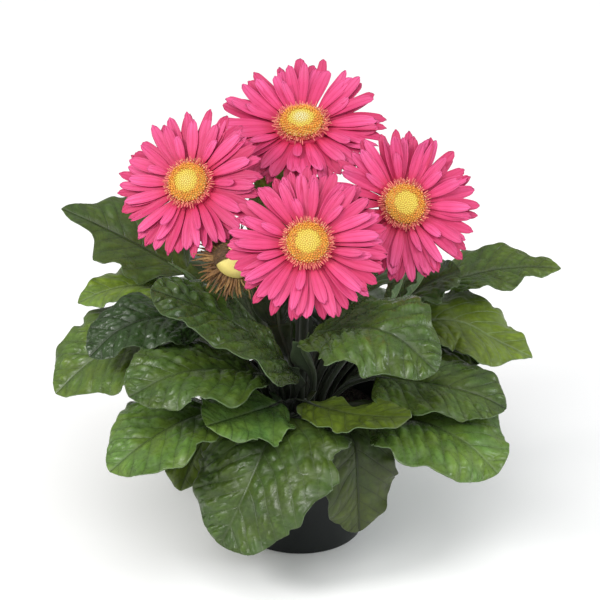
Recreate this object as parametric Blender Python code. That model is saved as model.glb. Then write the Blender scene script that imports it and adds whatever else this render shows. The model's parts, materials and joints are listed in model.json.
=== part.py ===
"""Potted gerbera: a leaf rosette with four open pink flowers and one spent head, in a nursery pot.

Lengths are in millimetres until a mesh is made. +Z is up, the front of the plant faces -Y, and the
origin is the middle of the pot's underside.
"""

import math
import random

import bmesh
import bpy
from mathutils import Matrix, Vector, noise

MM = 0.001
GAP = 0.3                     # clearance between pieces that touch

# Pot: an 88 mm tall nursery pot, 105 mm across its rim and 74 mm across its foot
POT_HEIGHT = 88.0
POT_RIM_RADIUS = 52.5
POT_COLLAR_RADIUS = 49.5
POT_FOOT_RADIUS = 37.0
POT_COLLAR_DROP = 14.0        # from the rim down to the step under the collar
POT_STEP = 1.6                # how far the collar stands out from the wall
POT_WALL = 1.5
POT_FLOOR = 2.4
POT_SIDES = 28
DRAIN_HOLES = 6
DRAIN_RADIUS = 3.5
DRAIN_CIRCLE = 26.0

# Soil
SOIL_TOP = 76.0
SOIL_MOUND = 1.0              # how much higher the soil is round the crown
SOIL_SINK = 1.5               # how much lower it is at the pot's wall
SOIL_RELIEF = 2.2
SOIL_RINGS = 4
SOIL_SIDES = 24

# Crown: the sockets in the soil, ring by ring, from which stems and stalks rise
CROWN_RING_RADIUS = (5.8, 12.2, 18.4, 24.6)
CROWN_RING_SLOTS = (5, 12, 16, 20)
CROWN_RING_START = (-90.0, 0.0, 0.0, 0.0)     # degrees from +X of each ring's first socket
CROWN_FLAT_RADIUS = 29.5
SOCKET_DEPTH = 8.0
SOCKET_SIDES = 5

# Leaves
STALK_RADIUS = 1.6
BLADE_THICKNESS = 0.8
BLADE_SECTIONS = 9
BLADE_COLUMNS = 5             # points across one face of a blade
BLADE_SPAN = (0.035, 0.985)   # the sections' first and last place, as shares of the midrib
STALK_SECTIONS = 2
LOBES = 3.4                   # waves of lobing along one edge
LOBE_SHIFT = 1.3              # half the difference in phase between the two edges' lobes
WAVES = 2.6                   # ripples of the margin along one edge
WAVE_SHIFT = 1.9
WAVE_FULL_WIDTH = 12.0        # half width from which the ripples have their full height

# Flowers
SCAPE_RADIUS = 2.5
SCAPE_SIDES = 8
SCAPE_SECTIONS = 6
SCAPE_NECK = 4.0              # from the cup's foot to where the round stem ends
CUP_RADIUS = 12.5
CUP_HEIGHT = 14.0
BRACT_OUT = 1.08              # how far the tips of the scales stand out, and the notches between
BRACT_IN = 0.95
BRACT_ROWS = (                # height and width as shares of the cup's, and the scales' offset
    (-0.92, 0.46, 0),
    (-0.60, 0.76, 1),
    (-0.26, 0.94, 0),
    (0.0, 1.0, 1),
)
PETAL_SLOTS = 26              # places round a receptacle where petals may grow
PETAL_LAYERS = (              # first slot, slot step, length, half width, extra rise in degrees
    (0, 2, 43.5, 3.9, 0.0),
    (1, 2, 42.0, 3.7, 1.5),
    (0, 3, 33.0, 3.0, 4.0),
)
PETAL_SHAPE = ((0.42, 0.98), (0.84, 0.88), (1.0, 0.30))     # share of the length, of the width
PETAL_FOOT = 0.9              # height of the lowest layer's middle over the receptacle's underside
PETAL_THICKNESS = 0.7
LAYER_STEP = 1.2
HUB_RADIUS = 14.0
HUB_THICKNESS = 4.2
FRINGE_TEETH = 15
FRINGE_RADIUS = 14.6
DOME_RADIUS = 11.6
DOME_HEIGHT = 4.6
SHRED_SLOTS = 20
SHRED_PLATE_RADIUS = 11.0
SHRED_REACH = (19.0, 24.5)    # shortest and longest withered floret, from the head's axis
SHRED_TUCK = 4.5              # how much shorter the florets are on the right, behind the front flower
SHRED_THICKNESS = 0.7
SPENT_DOME_RADIUS = 12.0
SPENT_DOME_HEIGHT = 7.5

COLOURS = {
    "pot_plastic": ((0.018, 0.021, 0.020), 0.42),
    "soil_peat": ((0.030, 0.019, 0.012), 0.95),
    "leaf_green": ((0.030, 0.115, 0.018), 0.45),
    "leaf_dark": ((0.012, 0.055, 0.014), 0.42),
    "leaf_blue": ((0.022, 0.085, 0.040), 0.45),
    "leaf_light": ((0.075, 0.200, 0.030), 0.50),
    "leaf_yellow": ((0.150, 0.300, 0.030), 0.50),
    "scape_green": ((0.130, 0.230, 0.060), 0.60),
    "ray_pink": ((0.800, 0.080, 0.230), 0.55),
    "fringe_salmon": ((0.850, 0.240, 0.160), 0.60),
    "disc_yellow": ((0.830, 0.560, 0.060), 0.65),
    "spent_yellow": ((0.800, 0.720, 0.230), 0.70),
    "spent_brown": ((0.230, 0.110, 0.035), 0.80),
}

# One row for each leaf. crown is its socket as (ring, slot). stalk holds the points that its stalk
# passes through above the soil, blade those of the midrib from the foot of the blade to its tip.
# width is the half width, skew makes the right half (seen from the crown) wider, roll turns the blade
# about its midrib (right side down), curl bends the two halves up (+) or down (-), in degrees. left
# and right hold the lobes of the two edges as (place along the midrib, share of the half width).
LEAF_DEFAULTS = dict(stalk=[], width=34.0, skew=0.0, roll=(0.0, 0.0), curl=-25.0, fold=12.0,
                     peak=1.25, full=0.62, lobe=0.10, wave=2.2, phase=0.0, colour="leaf_green",
                     sections=BLADE_SECTIONS, heading=None, left=((0.0, 1.0),), right=((0.0, 1.0),))
LEAVES = [
    dict(name="leaf_front_left", crown=(2, 12), stalk=[(-3, -29, 87)],
         blade=[(-7, -43, 93), (-18, -64, 89), (-31, -83, 66), (-45, -90, 36)],
         left=((0.0, 1.3), (0.2, 1.25), (0.28, 0.86), (0.45, 1.08), (0.6, 0.86), (1.0, 0.85)),
         width=44.0, skew=-0.16, curl=-30.0, fold=15.0, peak=0.80, full=0.48, phase=0.4,
         sections=13),
    dict(name="leaf_front_over", crown=(2, 11), stalk=[(-9, -24, 92)],
         blade=[(-12, -32, 97), (-32, -56, 102), (-52, -78, 106)],
         left=((0.3, 1.05), (0.5, 1.4), (0.8, 1.45), (1.0, 1.2)), right=((0.2, 1.0), (0.5, 0.55)),
         width=22.0, curl=-20.0, roll=(-10.0, -20.0), peak=1.0, phase=2.0, colour="leaf_blue"),
    dict(name="leaf_hanging", crown=(2, 13), stalk=[(14, -28, 88)],
         blade=[(22, -43, 92), (31, -57, 84), (33, -63, 58), (34, -62, 29)],
         width=25.0, curl=-25.0, peak=1.0, phase=1.0, colour="leaf_dark"),
    dict(name="leaf_front_centre", crown=(1, 9), stalk=[(3, -20, 92)],
         blade=[(4, -31, 97), (28, -56, 103), (48, -72, 109), (62, -80, 113)],
         left=((0.1, 0.45), (0.4, 0.45), (0.7, 0.75)), right=((0.3, 1.0), (0.6, 1.1), (0.8, 1.4)),
         width=23.0, curl=-16.0, roll=(5.0, 8.0), peak=0.95, full=0.55, phase=2.8),
    dict(name="leaf_low_right", crown=(2, 14), stalk=[(24, -22, 88)],
         blade=[(42, -35, 93), (74, -56, 96), (95, -71, 90), (111, -81, 77)],
         left=((0.7, 0.9), (1.0, 0.6)), right=((0.2, 1.0), (0.4, 1.12), (0.5, 0.9), (0.7, 1.08)),
         width=39.0, curl=-25.0, roll=(3.0, 8.0), peak=0.95, full=0.55, phase=0.2,
         colour="leaf_light"),
    dict(name="leaf_dark_right", crown=(2, 15), stalk=[(26, -14, 98)],
         blade=[(44, -23, 109), (80, -39, 112), (102, -47, 109), (117, -52, 103)],
         left=((0.3, 0.75), (0.6, 0.8), (0.9, 0.7)), right=((0.5, 1.1), (0.7, 0.98), (0.9, 1.3)),
         width=28.0, curl=-25.0, roll=(8.0, 12.0), peak=1.05, phase=1.7, colour="leaf_dark"),
    dict(name="leaf_olive_right", crown=(2, 0), stalk=[(30, 0, 96)],
         blade=[(52, 4, 109), (86, 8, 113), (108, 8, 106)],
         width=21.0, curl=-20.0, roll=(5.0, 10.0), phase=0.9, sections=7),
    dict(name="leaf_glossy", crown=(1, 10), stalk=[(8, -17, 108)],
         blade=[(2, -26, 131), (22, -44, 150), (50, -62, 155), (76, -77, 138)],
         left=((0.6, 1.05), (0.7, 1.08), (0.79, 0.74), (0.9, 0.78)),
         right=((0.0, 0.5), (0.25, 0.72), (0.48, 1.1), (0.6, 0.94), (0.7, 1.08), (0.8, 0.98)),
         width=35.0, curl=-28.0, roll=(15.0, 15.0), peak=1.0, full=0.52, phase=2.2, sections=13),
    dict(name="leaf_yellow_right", crown=(2, 1), stalk=[(42, 14, 112)],
         blade=[(68, 18, 125), (94, 16, 128), (116, 8, 120), (136, 0, 114)],
         left=((0.4, 1.0), (0.6, 1.15), (0.8, 1.1)),
         right=((0.3, 1.15), (0.45, 0.95), (0.62, 1.45), (0.8, 1.2)),
         width=29.0, curl=-20.0, roll=(15.0, 8.0), peak=0.85, full=0.85, phase=1.2,
         colour="leaf_yellow", sections=10),
    dict(name="leaf_upper_right", crown=(2, 2), stalk=[(46, 24, 122)],
         blade=[(78, 36, 139), (110, 44, 146), (134, 48, 147), (156, 50, 145)],
         left=((0.0, 0.9), (0.3, 1.05), (0.6, 0.88), (0.7, 0.92), (0.82, 0.62)),
         right=((0.3, 1.15), (0.45, 0.75), (0.6, 0.88), (0.75, 0.55)),
         width=22.0, curl=-20.0, roll=(10.0, 20.0), full=0.75, phase=0.5),
    dict(name="leaf_back_right_dark", crown=(1, 0), stalk=[(34, 8, 116)],
         blade=[(54, 18, 134), (74, 24, 147), (94, 28, 154)],
         width=19.0, curl=-20.0, roll=(10.0, 15.0), phase=0.1, colour="leaf_dark"),
    dict(name="leaf_bumpy_left", crown=(1, 8), stalk=[(-4, -17, 98)],
         blade=[(-6, -26, 116), (-24, -35, 140), (-50, -41, 159), (-84, -41, 173)],
         left=((0.2, 0.8), (0.5, 0.75), (0.7, 0.92)), right=((0.5, 1.0), (0.75, 1.3), (1.0, 1.25)),
         width=32.0, skew=-0.18, curl=-25.0, roll=(-10.0, -18.0), peak=0.95, full=0.52, phase=1.4,
         colour="leaf_dark", sections=12),
    dict(name="leaf_left_forward", crown=(1, 7), stalk=[(-16, -20, 100)],
         blade=[(-20, -32, 114), (-44, -50, 128), (-70, -66, 132), (-95, -79, 124)],
         left=((0.0, 0.5), (0.4, 0.5), (0.6, 0.75), (0.8, 0.95)), right=((0.6, 1.0), (0.8, 1.12)),
         width=31.0, curl=-25.0, roll=(-5.0, -12.0), peak=0.95, full=0.52, phase=2.6),
    dict(name="leaf_low_left", crown=(2, 9), stalk=[(-28, -22, 93)],
         blade=[(-42, -39, 99), (-67, -60, 100), (-89, -77, 93), (-106, -88, 82)],
         right=((0.5, 1.0), (0.8, 0.82)), width=33.0, curl=-25.0, phase=0.7, colour="leaf_light"),
    dict(name="leaf_under_left", crown=(2, 10), stalk=[(-27, -23, 89)],
         blade=[(-44, -34, 90), (-59, -47, 74), (-68, -64, 57)],
         width=16.0, curl=-20.0, phase=0.0, sections=8),
    dict(name="leaf_blue_left", crown=(2, 8), stalk=[(-36, -8, 114)],
         blade=[(-56, -16, 138), (-80, -24, 148), (-102, -34, 144), (-119, -43, 131)],
         width=21.0, curl=-25.0, roll=(-15.0, -20.0), peak=0.95, phase=1.9, colour="leaf_blue"),
    dict(name="leaf_far_left", crown=(2, 7), stalk=[(-40, 2, 106)],
         blade=[(-66, -2, 122), (-97, -8, 126), (-121, -16, 115), (-141, -24, 98)],
         left=((0.2, 1.2), (0.6, 1.08), (0.85, 0.75)), right=((0.6, 1.0), (0.78, 0.8)),
         width=34.0, curl=-22.0, roll=(-12.0, -20.0), peak=1.2, phase=0.3, colour="leaf_light"),
    dict(name="leaf_yellow_left", crown=(1, 6), stalk=[(-42, 12, 128)],
         blade=[(-68, 22, 139), (-92, 24, 146), (-112, 21, 144), (-130, 15, 138)],
         width=21.0, curl=-20.0, roll=(-12.0, -12.0), peak=1.0, phase=2.4, colour="leaf_yellow"),
    dict(name="leaf_upper_left", crown=(2, 6), stalk=[(-40, 22, 124)],
         blade=[(-66, 30, 150), (-92, 38, 164), (-118, 45, 175), (-141, 50, 184)],
         left=((0.2, 1.5), (0.3, 0.9), (0.5, 0.95), (0.58, 0.8), (0.68, 0.4)),
         right=((0.6, 1.05), (0.7, 0.9), (0.8, 0.68), (0.9, 0.75)),
         width=32.0, curl=-20.0, roll=(-22.0, -12.0), full=0.85, lobe=0.16, phase=1.1,
         colour="leaf_dark", sections=13),
    dict(name="leaf_bright_upright", crown=(0, 3), stalk=[(-6, 17, 100)], heading=(0.0, 1.0),
         blade=[(-12, 29, 116), (-15, 42, 150), (-16, 50, 186), (-15, 54, 219)],
         left=((0.1, 1.6), (0.3, 1.1), (0.5, 0.85), (0.7, 1.0)), right=((0.1, 1.3), (0.4, 0.9), (0.7, 1.0)),
         width=17.0, curl=15.0, phase=0.4, lobe=0.15, peak=1.0, colour="leaf_yellow"),
    dict(name="leaf_rear_upright", crown=(0, 2), stalk=[(7, 17, 98)], heading=(0.0, 1.0),
         blade=[(14, 30, 114), (16, 42, 146), (16, 52, 176), (13, 58, 204)],
         left=((0.1, 1.3), (0.4, 0.9)), right=((0.1, 1.6), (0.4, 1.0)),
         width=17.0, curl=15.0, phase=1.4, lobe=0.12, peak=1.0, colour="leaf_dark"),
    dict(name="leaf_young_front", crown=(1, 11), stalk=[(34, -6, 124)],
         blade=[(46, -6, 142), (55, -6, 155), (59, -4, 166)],
         width=8.0, curl=35.0, wave=2.0, phase=0.8, lobe=0.2, colour="scape_green", sections=8),
    dict(name="leaf_young_back", crown=(1, 1), stalk=[(38, 10, 126)],
         blade=[(58, 8, 144), (68, 6, 156), (74, 6, 170)],
         width=8.0, curl=35.0, wave=2.0, phase=2.8, lobe=0.2, colour="scape_green", sections=8),
    dict(name="leaf_back_right", crown=(2, 3), stalk=[(22, 36, 96)],
         blade=[(38, 58, 104), (62, 88, 106), (78, 108, 94), (88, 122, 74)],
         width=32.0, phase=0.6, sections=7),
    dict(name="leaf_back", crown=(3, 5), stalk=[(2, 40, 89)],
         blade=[(2, 54, 93), (0, 84, 98), (-2, 110, 89), (-4, 127, 68)],
         left=((0.0, 1.8), (0.3, 1.1), (0.5, 1.0)), right=((0.0, 1.8), (0.3, 1.1), (0.5, 1.0)),
         width=34.0, phase=1.6, colour="leaf_light", sections=7),
    dict(name="leaf_back_left", crown=(2, 5), stalk=[(-28, 28, 98)],
         blade=[(-48, 50, 110), (-72, 78, 116), (-90, 98, 108), (-104, 112, 90)],
         width=32.0, phase=2.6, sections=7),
    dict(name="leaf_back_mid_left", crown=(3, 6), stalk=[(-16, 40, 90)],
         blade=[(-26, 57, 91), (-42, 82, 86), (-54, 102, 68), (-60, 112, 44)],
         right=((0.0, 1.6), (0.4, 1.0)), width=29.0, phase=1.3, colour="leaf_dark", sections=7),
    dict(name="leaf_back_mid_right", crown=(3, 4), stalk=[(15, 40, 90)],
         blade=[(26, 57, 91), (42, 80, 85), (52, 99, 68), (57, 110, 44)],
         width=28.0, phase=2.2, colour="leaf_light", sections=7),
    dict(name="leaf_back_centre", crown=(2, 4), stalk=[(3, 32, 106)],
         blade=[(5, 50, 119), (9, 72, 126), (9, 94, 122), (6, 110, 107)],
         width=26.0, phase=0.3, sections=7),
    dict(name="leaf_back_high", crown=(1, 4), stalk=[(-19, 22, 104)],
         blade=[(-32, 42, 128), (-42, 68, 140), (-52, 92, 138), (-60, 108, 127)],
         left=((0.0, 1.5), (0.4, 1.0)), right=((0.0, 1.6), (0.4, 1.1)),
         width=28.0, phase=0.9, colour="leaf_dark", sections=7),
    dict(name="leaf_back_high_right", crown=(1, 2), stalk=[(20, 24, 112)],
         blade=[(34, 40, 132), (54, 62, 142), (74, 82, 138), (88, 96, 126)],
         width=27.0, phase=1.9, sections=7),
]

# One row for each open flower. head is the middle of the receptacle's underside, facing the way it
# looks, size its scale, cone how far the petals rise, lift how far the far side rises over the near
# side, both in degrees.
FLOWERS = [
    dict(name="left", crown=(1, 5), bend=[(-30, 10, 130), (-52, 12, 185)], head=(-61, 2, 217),
         facing=(-0.30, -0.76, 0.62), size=0.96, cone=7.0, lift=0.0, seed=3),
    dict(name="top", crown=(1, 3), bend=[(0, 24, 130), (2, 38, 190)], head=(1, 46, 234),
         facing=(-0.04, -0.38, 0.92), size=1.10, cone=5.0, lift=14.0, seed=5),
    dict(name="right", crown=(0, 1), bend=[(26, 2, 130), (48, 6, 175)], head=(58, 5, 203),
         facing=(0.20, -0.80, 0.58), size=1.0, cone=6.0, lift=6.0, seed=8),
    dict(name="front", crown=(0, 0), bend=[(2, -12, 130), (3, -30, 178)], head=(4, -44, 200),
         facing=(0.02, -0.78, 0.62), size=1.0, cone=6.0, lift=0.0, seed=13),
]
SPENT = dict(name="spent", crown=(0, 4), bend=[(-20, 2, 120), (-40, -5, 152)], head=(-36, -26, 183),
             facing=(0.12, -0.66, 0.74), size=0.78)


def socket(crown):
    """Where a stem leaves the soil, as a point at the soil's top."""
    ring, slot = crown
    turn = math.radians(CROWN_RING_START[ring] + 360.0 * slot / CROWN_RING_SLOTS[ring])
    radius = CROWN_RING_RADIUS[ring]
    return Vector((radius * math.cos(turn), radius * math.sin(turn), SOIL_TOP + SOIL_MOUND))


class Path:
    """A smooth curve through points that leaves the first one straight up."""

    def __init__(self, points):
        self.points = [Vector(p) for p in points]
        last = len(self.points) - 1
        self.slopes = []
        for i in range(last + 1):
            if i == 0:
                slope = Vector((0, 0, (self.points[1] - self.points[0]).length))
            elif i == last:
                slope = self.points[last] - self.points[last - 1]
            else:
                before = self.points[i] - self.points[i - 1]
                after = self.points[i + 1] - self.points[i]
                slope = (before.normalized() + after.normalized()).normalized()
                slope *= min(before.length, after.length)
            self.slopes.append(slope)

    def at(self, s):
        """Point at s, which counts the given points: 0 is the first one, 1 the second."""
        i = min(int(s), len(self.points) - 2)
        f = s - i
        a, b = self.points[i], self.points[i + 1]
        va, vb = self.slopes[i], self.slopes[i + 1]
        return (a * (2 * f**3 - 3 * f**2 + 1) + va * (f**3 - 2 * f**2 + f)
                + b * (-2 * f**3 + 3 * f**2) + vb * (f**3 - f**2))

    def tangent(self, s):
        step = 0.01
        end = len(self.points) - 1
        return (self.at(min(s + step, end)) - self.at(max(s - step, 0))).normalized()

    def even(self, start, end, count):
        """Values of s that cut the stretch from start to end into count equal lengths."""
        fine = 60
        marks = [start + (end - start) * i / fine for i in range(fine + 1)]
        lengths = [0.0]
        for a, b in zip(marks, marks[1:]):
            lengths.append(lengths[-1] + (self.at(b) - self.at(a)).length)
        values, j = [], 0
        for i in range(count + 1):
            goal = lengths[-1] * i / count
            while j < fine - 1 and lengths[j + 1] < goal:
                j += 1
            part = (goal - lengths[j]) / max(lengths[j + 1] - lengths[j], 1e-9)
            values.append(marks[j] + (marks[j + 1] - marks[j]) * min(part, 1.0))
        return values

    def measure(self, start, end):
        """A function that turns 0 to 1 into s from start to end, by equal lengths of the curve."""
        steps = 40
        marks = self.even(start, end, steps)

        def place(t):
            here = min(max(t, 0.0), 1.0) * steps
            i = min(int(here), steps - 1)
            return marks[i] + (marks[i + 1] - marks[i]) * (here - i)
        return place


def material(name):
    """The named material, made the first time it is asked for."""
    found = bpy.data.materials.get(name)
    if found:
        return found
    colour, roughness = COLOURS[name]
    made = bpy.data.materials.new(name)
    made.use_nodes = True
    shader = made.node_tree.nodes["Principled BSDF"]
    shader.inputs["Base Color"].default_value = (*colour, 1.0)
    shader.inputs["Roughness"].default_value = roughness
    shader.inputs["Metallic"].default_value = 0.0
    made.diffuse_color = (*colour, 1.0)
    return made


def add_object(name, points, faces, colour, sharp=40.0):
    """A closed mesh object from points in millimetres."""
    mesh = bpy.data.meshes.new(name)
    mesh.from_pydata([tuple(c * MM for c in p) for p in points], [], faces)
    work = bmesh.new()
    work.from_mesh(mesh)
    bmesh.ops.recalc_face_normals(work, faces=work.faces)
    work.to_mesh(mesh)
    work.free()
    mesh.shade_smooth()
    mesh.set_sharp_from_angle(angle=math.radians(sharp))
    made = bpy.data.objects.new(name, mesh)
    made.data.materials.append(material(colour))
    bpy.context.collection.objects.link(made)
    return made


def loft(rings, first_index=0, caps=True):
    """Faces that join equal closed rings of points, in triangles, with a flat cap at each end."""
    count = len(rings[0])
    faces = []
    for i in range(len(rings) - 1):
        a, b = first_index + i * count, first_index + (i + 1) * count
        for k in range(count):
            n = (k + 1) % count
            faces.append((a + k, a + n, b + n))
            faces.append((a + k, b + n, b + k))
    if caps:
        end = first_index + (len(rings) - 1) * count
        faces.append(tuple(range(first_index, first_index + count)))
        faces.append(tuple(reversed(range(end, end + count))))
    return faces


def circle_ring(centre, side, up, radius, sides, turn=0.0):
    """A ring of points round centre, in the plane of side and up."""
    ring = []
    for k in range(sides):
        angle = turn + math.tau * k / sides
        ring.append(centre + side * (radius * math.cos(angle)) + up * (radius * math.sin(angle)))
    return ring


def apply_modifiers(made):
    """Bake an object's modifiers into its mesh."""
    bpy.context.view_layer.update()
    graph = bpy.context.evaluated_depsgraph_get()
    mesh = bpy.data.meshes.new_from_object(made.evaluated_get(graph))
    made.modifiers.clear()
    made.data = mesh
    mesh.shade_smooth()
    mesh.set_sharp_from_angle(angle=math.radians(40.0))


def pot():
    """A turned pot with a collar and a rolled rim, and drain holes through its floor."""
    step = POT_HEIGHT - POT_COLLAR_DROP
    slope = (POT_COLLAR_RADIUS - POT_STEP - POT_FOOT_RADIUS) / step
    below_step = POT_FOOT_RADIUS + slope * step
    profile = [
        (POT_FOOT_RADIUS - 1.5, 0.0), (POT_FOOT_RADIUS, 1.5), (below_step, step - 1.0),
        (POT_COLLAR_RADIUS, step), (POT_COLLAR_RADIUS + 1.0, POT_HEIGHT - 3.2),
        (POT_RIM_RADIUS, POT_HEIGHT - 2.4), (POT_RIM_RADIUS - 0.3, POT_HEIGHT),
        (POT_COLLAR_RADIUS - 0.6, POT_HEIGHT - 0.4),
        (below_step - POT_WALL, step - 2.0), (POT_FOOT_RADIUS - POT_WALL + 0.3, POT_FLOOR),
    ]
    side, up = Vector((1, 0, 0)), Vector((0, 1, 0))
    rings = [circle_ring(Vector((0, 0, height)), side, up, radius, POT_SIDES)
             for radius, height in profile]
    points = [p for ring in rings for p in ring]
    faces = loft(rings)
    made = add_object("pot", points, faces, "pot_plastic", sharp=35.0)
    drills = []
    for i in range(DRAIN_HOLES):
        angle = math.tau * (i + 0.5) / DRAIN_HOLES
        x, y = DRAIN_CIRCLE * math.cos(angle), DRAIN_CIRCLE * math.sin(angle)
        drills.append(drill("drain_%d" % i, Vector((x, y, -2.0)), POT_FLOOR + 4.0, DRAIN_RADIUS, 8))
    cut(made, drills)
    return made


def drill(name, foot, height, radius, sides):
    """An upright prism that a Boolean cuts out."""
    side, up = Vector((1, 0, 0)), Vector((0, 1, 0))
    low = circle_ring(foot, side, up, radius, sides)
    high = [p + Vector((0, 0, height)) for p in low]
    faces = [(k, (k + 1) % sides, sides + (k + 1) % sides, sides + k) for k in range(sides)]
    faces += [tuple(range(sides)), tuple(range(2 * sides - 1, sides - 1, -1))]
    return add_object(name, low + high, faces, "pot_plastic")


def cut(made, drills):
    """Cut several prisms that stay clear of each other out of an object."""
    cutters = bpy.data.collections.new(made.name + "_drills")
    for one in drills:
        bpy.context.collection.objects.unlink(one)
        cutters.objects.link(one)
    bpy.context.scene.collection.children.link(cutters)
    bore = made.modifiers.new("bore", "BOOLEAN")
    bore.operation = "DIFFERENCE"
    bore.operand_type = "COLLECTION"
    bore.collection = cutters
    apply_modifiers(made)
    for one in drills:
        bpy.data.objects.remove(one)
    bpy.data.collections.remove(cutters)


def soil(sockets):
    """Peat that fills the pot to below its rim: crumbly outside, flat where the stems stand in it."""
    step = POT_HEIGHT - POT_COLLAR_DROP
    inner_slope = (POT_COLLAR_RADIUS - POT_STEP - POT_FOOT_RADIUS) / step
    bottom_radius = POT_FOOT_RADIUS - POT_WALL - 1.0
    edge_top = SOIL_TOP - SOIL_SINK
    top_radius = bottom_radius + inner_slope * edge_top
    side, up = Vector((1, 0, 0)), Vector((0, 1, 0))
    rings = [circle_ring(Vector((0, 0, POT_FLOOR + GAP)), side, up, bottom_radius, SOIL_SIDES)]
    for i in range(SOIL_RINGS):
        share = i / (SOIL_RINGS - 1)
        radius = top_radius + (CROWN_FLAT_RADIUS - top_radius) * share
        height = edge_top + (SOIL_TOP + SOIL_MOUND - edge_top) * share
        turn = math.pi * i / SOIL_SIDES
        ring = circle_ring(Vector((0, 0, height)), side, up, radius, SOIL_SIDES, turn)
        if 0 < i < SOIL_RINGS - 1:
            for point in ring:
                point.z += SOIL_RELIEF * noise.noise(Vector((point.x, point.y, 0.0)) * 0.2)
        rings.append(ring)
    points = [p for ring in rings for p in ring]
    faces = loft(rings)
    made = add_object("soil", points, faces, "soil_peat")
    drills = []
    for i, (where, radius) in enumerate(sockets):
        foot = where - Vector((0, 0, SOCKET_DEPTH + 2.0))
        drills.append(drill("socket_%d" % i, foot, SOCKET_DEPTH + 12.0, radius, SOCKET_SIDES))
    cut(made, drills)
    return made


def trim(stations, t):
    """A share that runs smoothly through stations of (place, share)."""
    before, share = stations[0]
    for place, goal in stations:
        if t < place:
            part = max(t - before, 0.0) / max(place - before, 1e-9)
            return share + (goal - share) * part * part * (3.0 - 2.0 * part)
        before, share = place, goal
    return share


def half_width(leaf, t, side):
    """Half width of a blade at t, from 0 at its foot to 1 at its tip, on side -1 or +1."""
    spread = math.sin(math.pi * min(max(t, 0.0), 1.0) ** leaf["peak"]) ** leaf["full"]
    lobing = math.cos(math.tau * LOBES * t + leaf["phase"] + LOBE_SHIFT * side)
    lobing *= leaf["lobe"] * (1.2 - 0.8 * t)
    lobing += trim(leaf["left" if side < 0 else "right"], t) - 1.0
    return leaf["width"] * (1 + side * leaf["skew"]) * spread * (1 + lobing)


def blade_point(leaf, path, place, t, v):
    """A point midway through the blade's thickness: t runs from foot to tip, v from -1 to 1 across."""
    centre, along = path.at(place(t)), path.tangent(place(t))
    heading = leaf["heading"]
    across = heading.cross(Vector((0, 0, 1)))
    across = (across - along * across.dot(along)).normalized()
    up = across.cross(along).normalized()
    roll = math.radians(leaf["roll"][0] + (leaf["roll"][1] - leaf["roll"][0]) * t)
    side_way = across * math.cos(roll) - up * math.sin(roll)
    up_way = up * math.cos(roll) + across * math.sin(roll)
    side = 1.0 if v >= 0 else -1.0
    reach = abs(v)
    width = half_width(leaf, t, side)
    bend = math.radians(leaf["curl"]) or 1e-6
    out = width * math.sin(bend * reach) / bend
    rise = width * (1.0 - math.cos(bend * reach)) / bend
    rise += out * math.tan(math.radians(leaf["fold"]))
    ripple = math.sin(math.tau * WAVES * t + 2.1 * leaf["phase"] + WAVE_SHIFT * side)
    rise += leaf["wave"] * ripple * reach**2 * min(1.0, width / WAVE_FULL_WIDTH)
    return centre + side_way * (side * out) + up_way * rise


def leaf_solid(row):
    """One leaf: a round stalk from its socket that spreads into a lobed, rippled blade."""
    leaf = {**LEAF_DEFAULTS, **row}
    top = socket(leaf["crown"])
    foot = top - Vector((0, 0, SOCKET_DEPTH))
    tip = Vector(leaf["blade"][-1])
    leaf["heading"] = Vector((*(leaf["heading"] or (tip - top).xy), 0.0)).normalized()
    path = Path([top, *leaf["stalk"], *leaf["blade"]])
    start, end = 1 + len(leaf["stalk"]), len(leaf["stalk"]) + len(leaf["blade"])
    place = path.measure(start, end)
    n = BLADE_COLUMNS
    rings = []
    across = leaf["heading"].cross(Vector((0, 0, 1)))
    stalk_marks = [None, 0.0] + path.even(0, start, STALK_SECTIONS)[1:-1]
    for s in stalk_marks:
        centre = foot if s is None else path.at(s)
        along = Vector((0, 0, 1)) if not s else path.tangent(s)
        side = (across - along * across.dot(along)).normalized()
        up = side.cross(along).normalized()
        ring = []
        for k in range(2 * n):
            angle = math.pi - math.pi * (k + 0.5) / n
            ring.append(centre + side * (STALK_RADIUS * math.cos(angle))
                        + up * (STALK_RADIUS * math.sin(angle)))
        rings.append(ring)
    grid = []
    sections = leaf["sections"]
    for i in range(sections + 1):
        t = BLADE_SPAN[0] + (BLADE_SPAN[1] - BLADE_SPAN[0]) * i / sections
        grid.append([blade_point(leaf, path, place, t, 2.0 * k / (n - 1) - 1.0) for k in range(n)])
    for i, row_points in enumerate(grid):
        before, after = grid[max(i - 1, 0)], grid[min(i + 1, sections)]
        above, below = [], []
        for k, point in enumerate(row_points):
            along = after[k] - before[k]
            over = row_points[min(k + 1, n - 1)] - row_points[max(k - 1, 0)]
            normal = over.cross(along).normalized() * (BLADE_THICKNESS / 2)
            above.append(point + normal)
            below.append(point - normal)
        rings.append(above + below[::-1])
    points = [p for ring in rings for p in ring]
    faces = leaf_faces(len(rings), n)
    return add_object(leaf["name"], points, faces, leaf["colour"], sharp=60.0)


def leaf_faces(rings, n):
    """Faces of a lofted leaf, with the same diagonals on its upper and lower side."""
    faces = []
    count = 2 * n
    for i in range(rings - 1):
        a, b = i * count, (i + 1) * count
        for k in range(n - 1):
            faces.append((a + k, a + k + 1, b + k + 1))
            faces.append((a + k, b + k + 1, b + k))
            under, next_under = count - 1 - k, count - 2 - k
            faces.append((a + under, b + next_under, a + next_under))
            faces.append((a + under, b + under, b + next_under))
        faces.append((a + n - 1, a + n, b + n))
        faces.append((a + n - 1, b + n, b + n - 1))
        faces.append((a + count - 1, a, b))
        faces.append((a + count - 1, b, b + count - 1))
    faces.append(tuple(range(count)))
    last = (rings - 1) * count
    for k in range(n - 1):
        under, next_under = count - 1 - k, count - 2 - k
        faces.append((last + k, last + k + 1, last + next_under))
        faces.append((last + k, last + next_under, last + under))
    return faces


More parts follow.
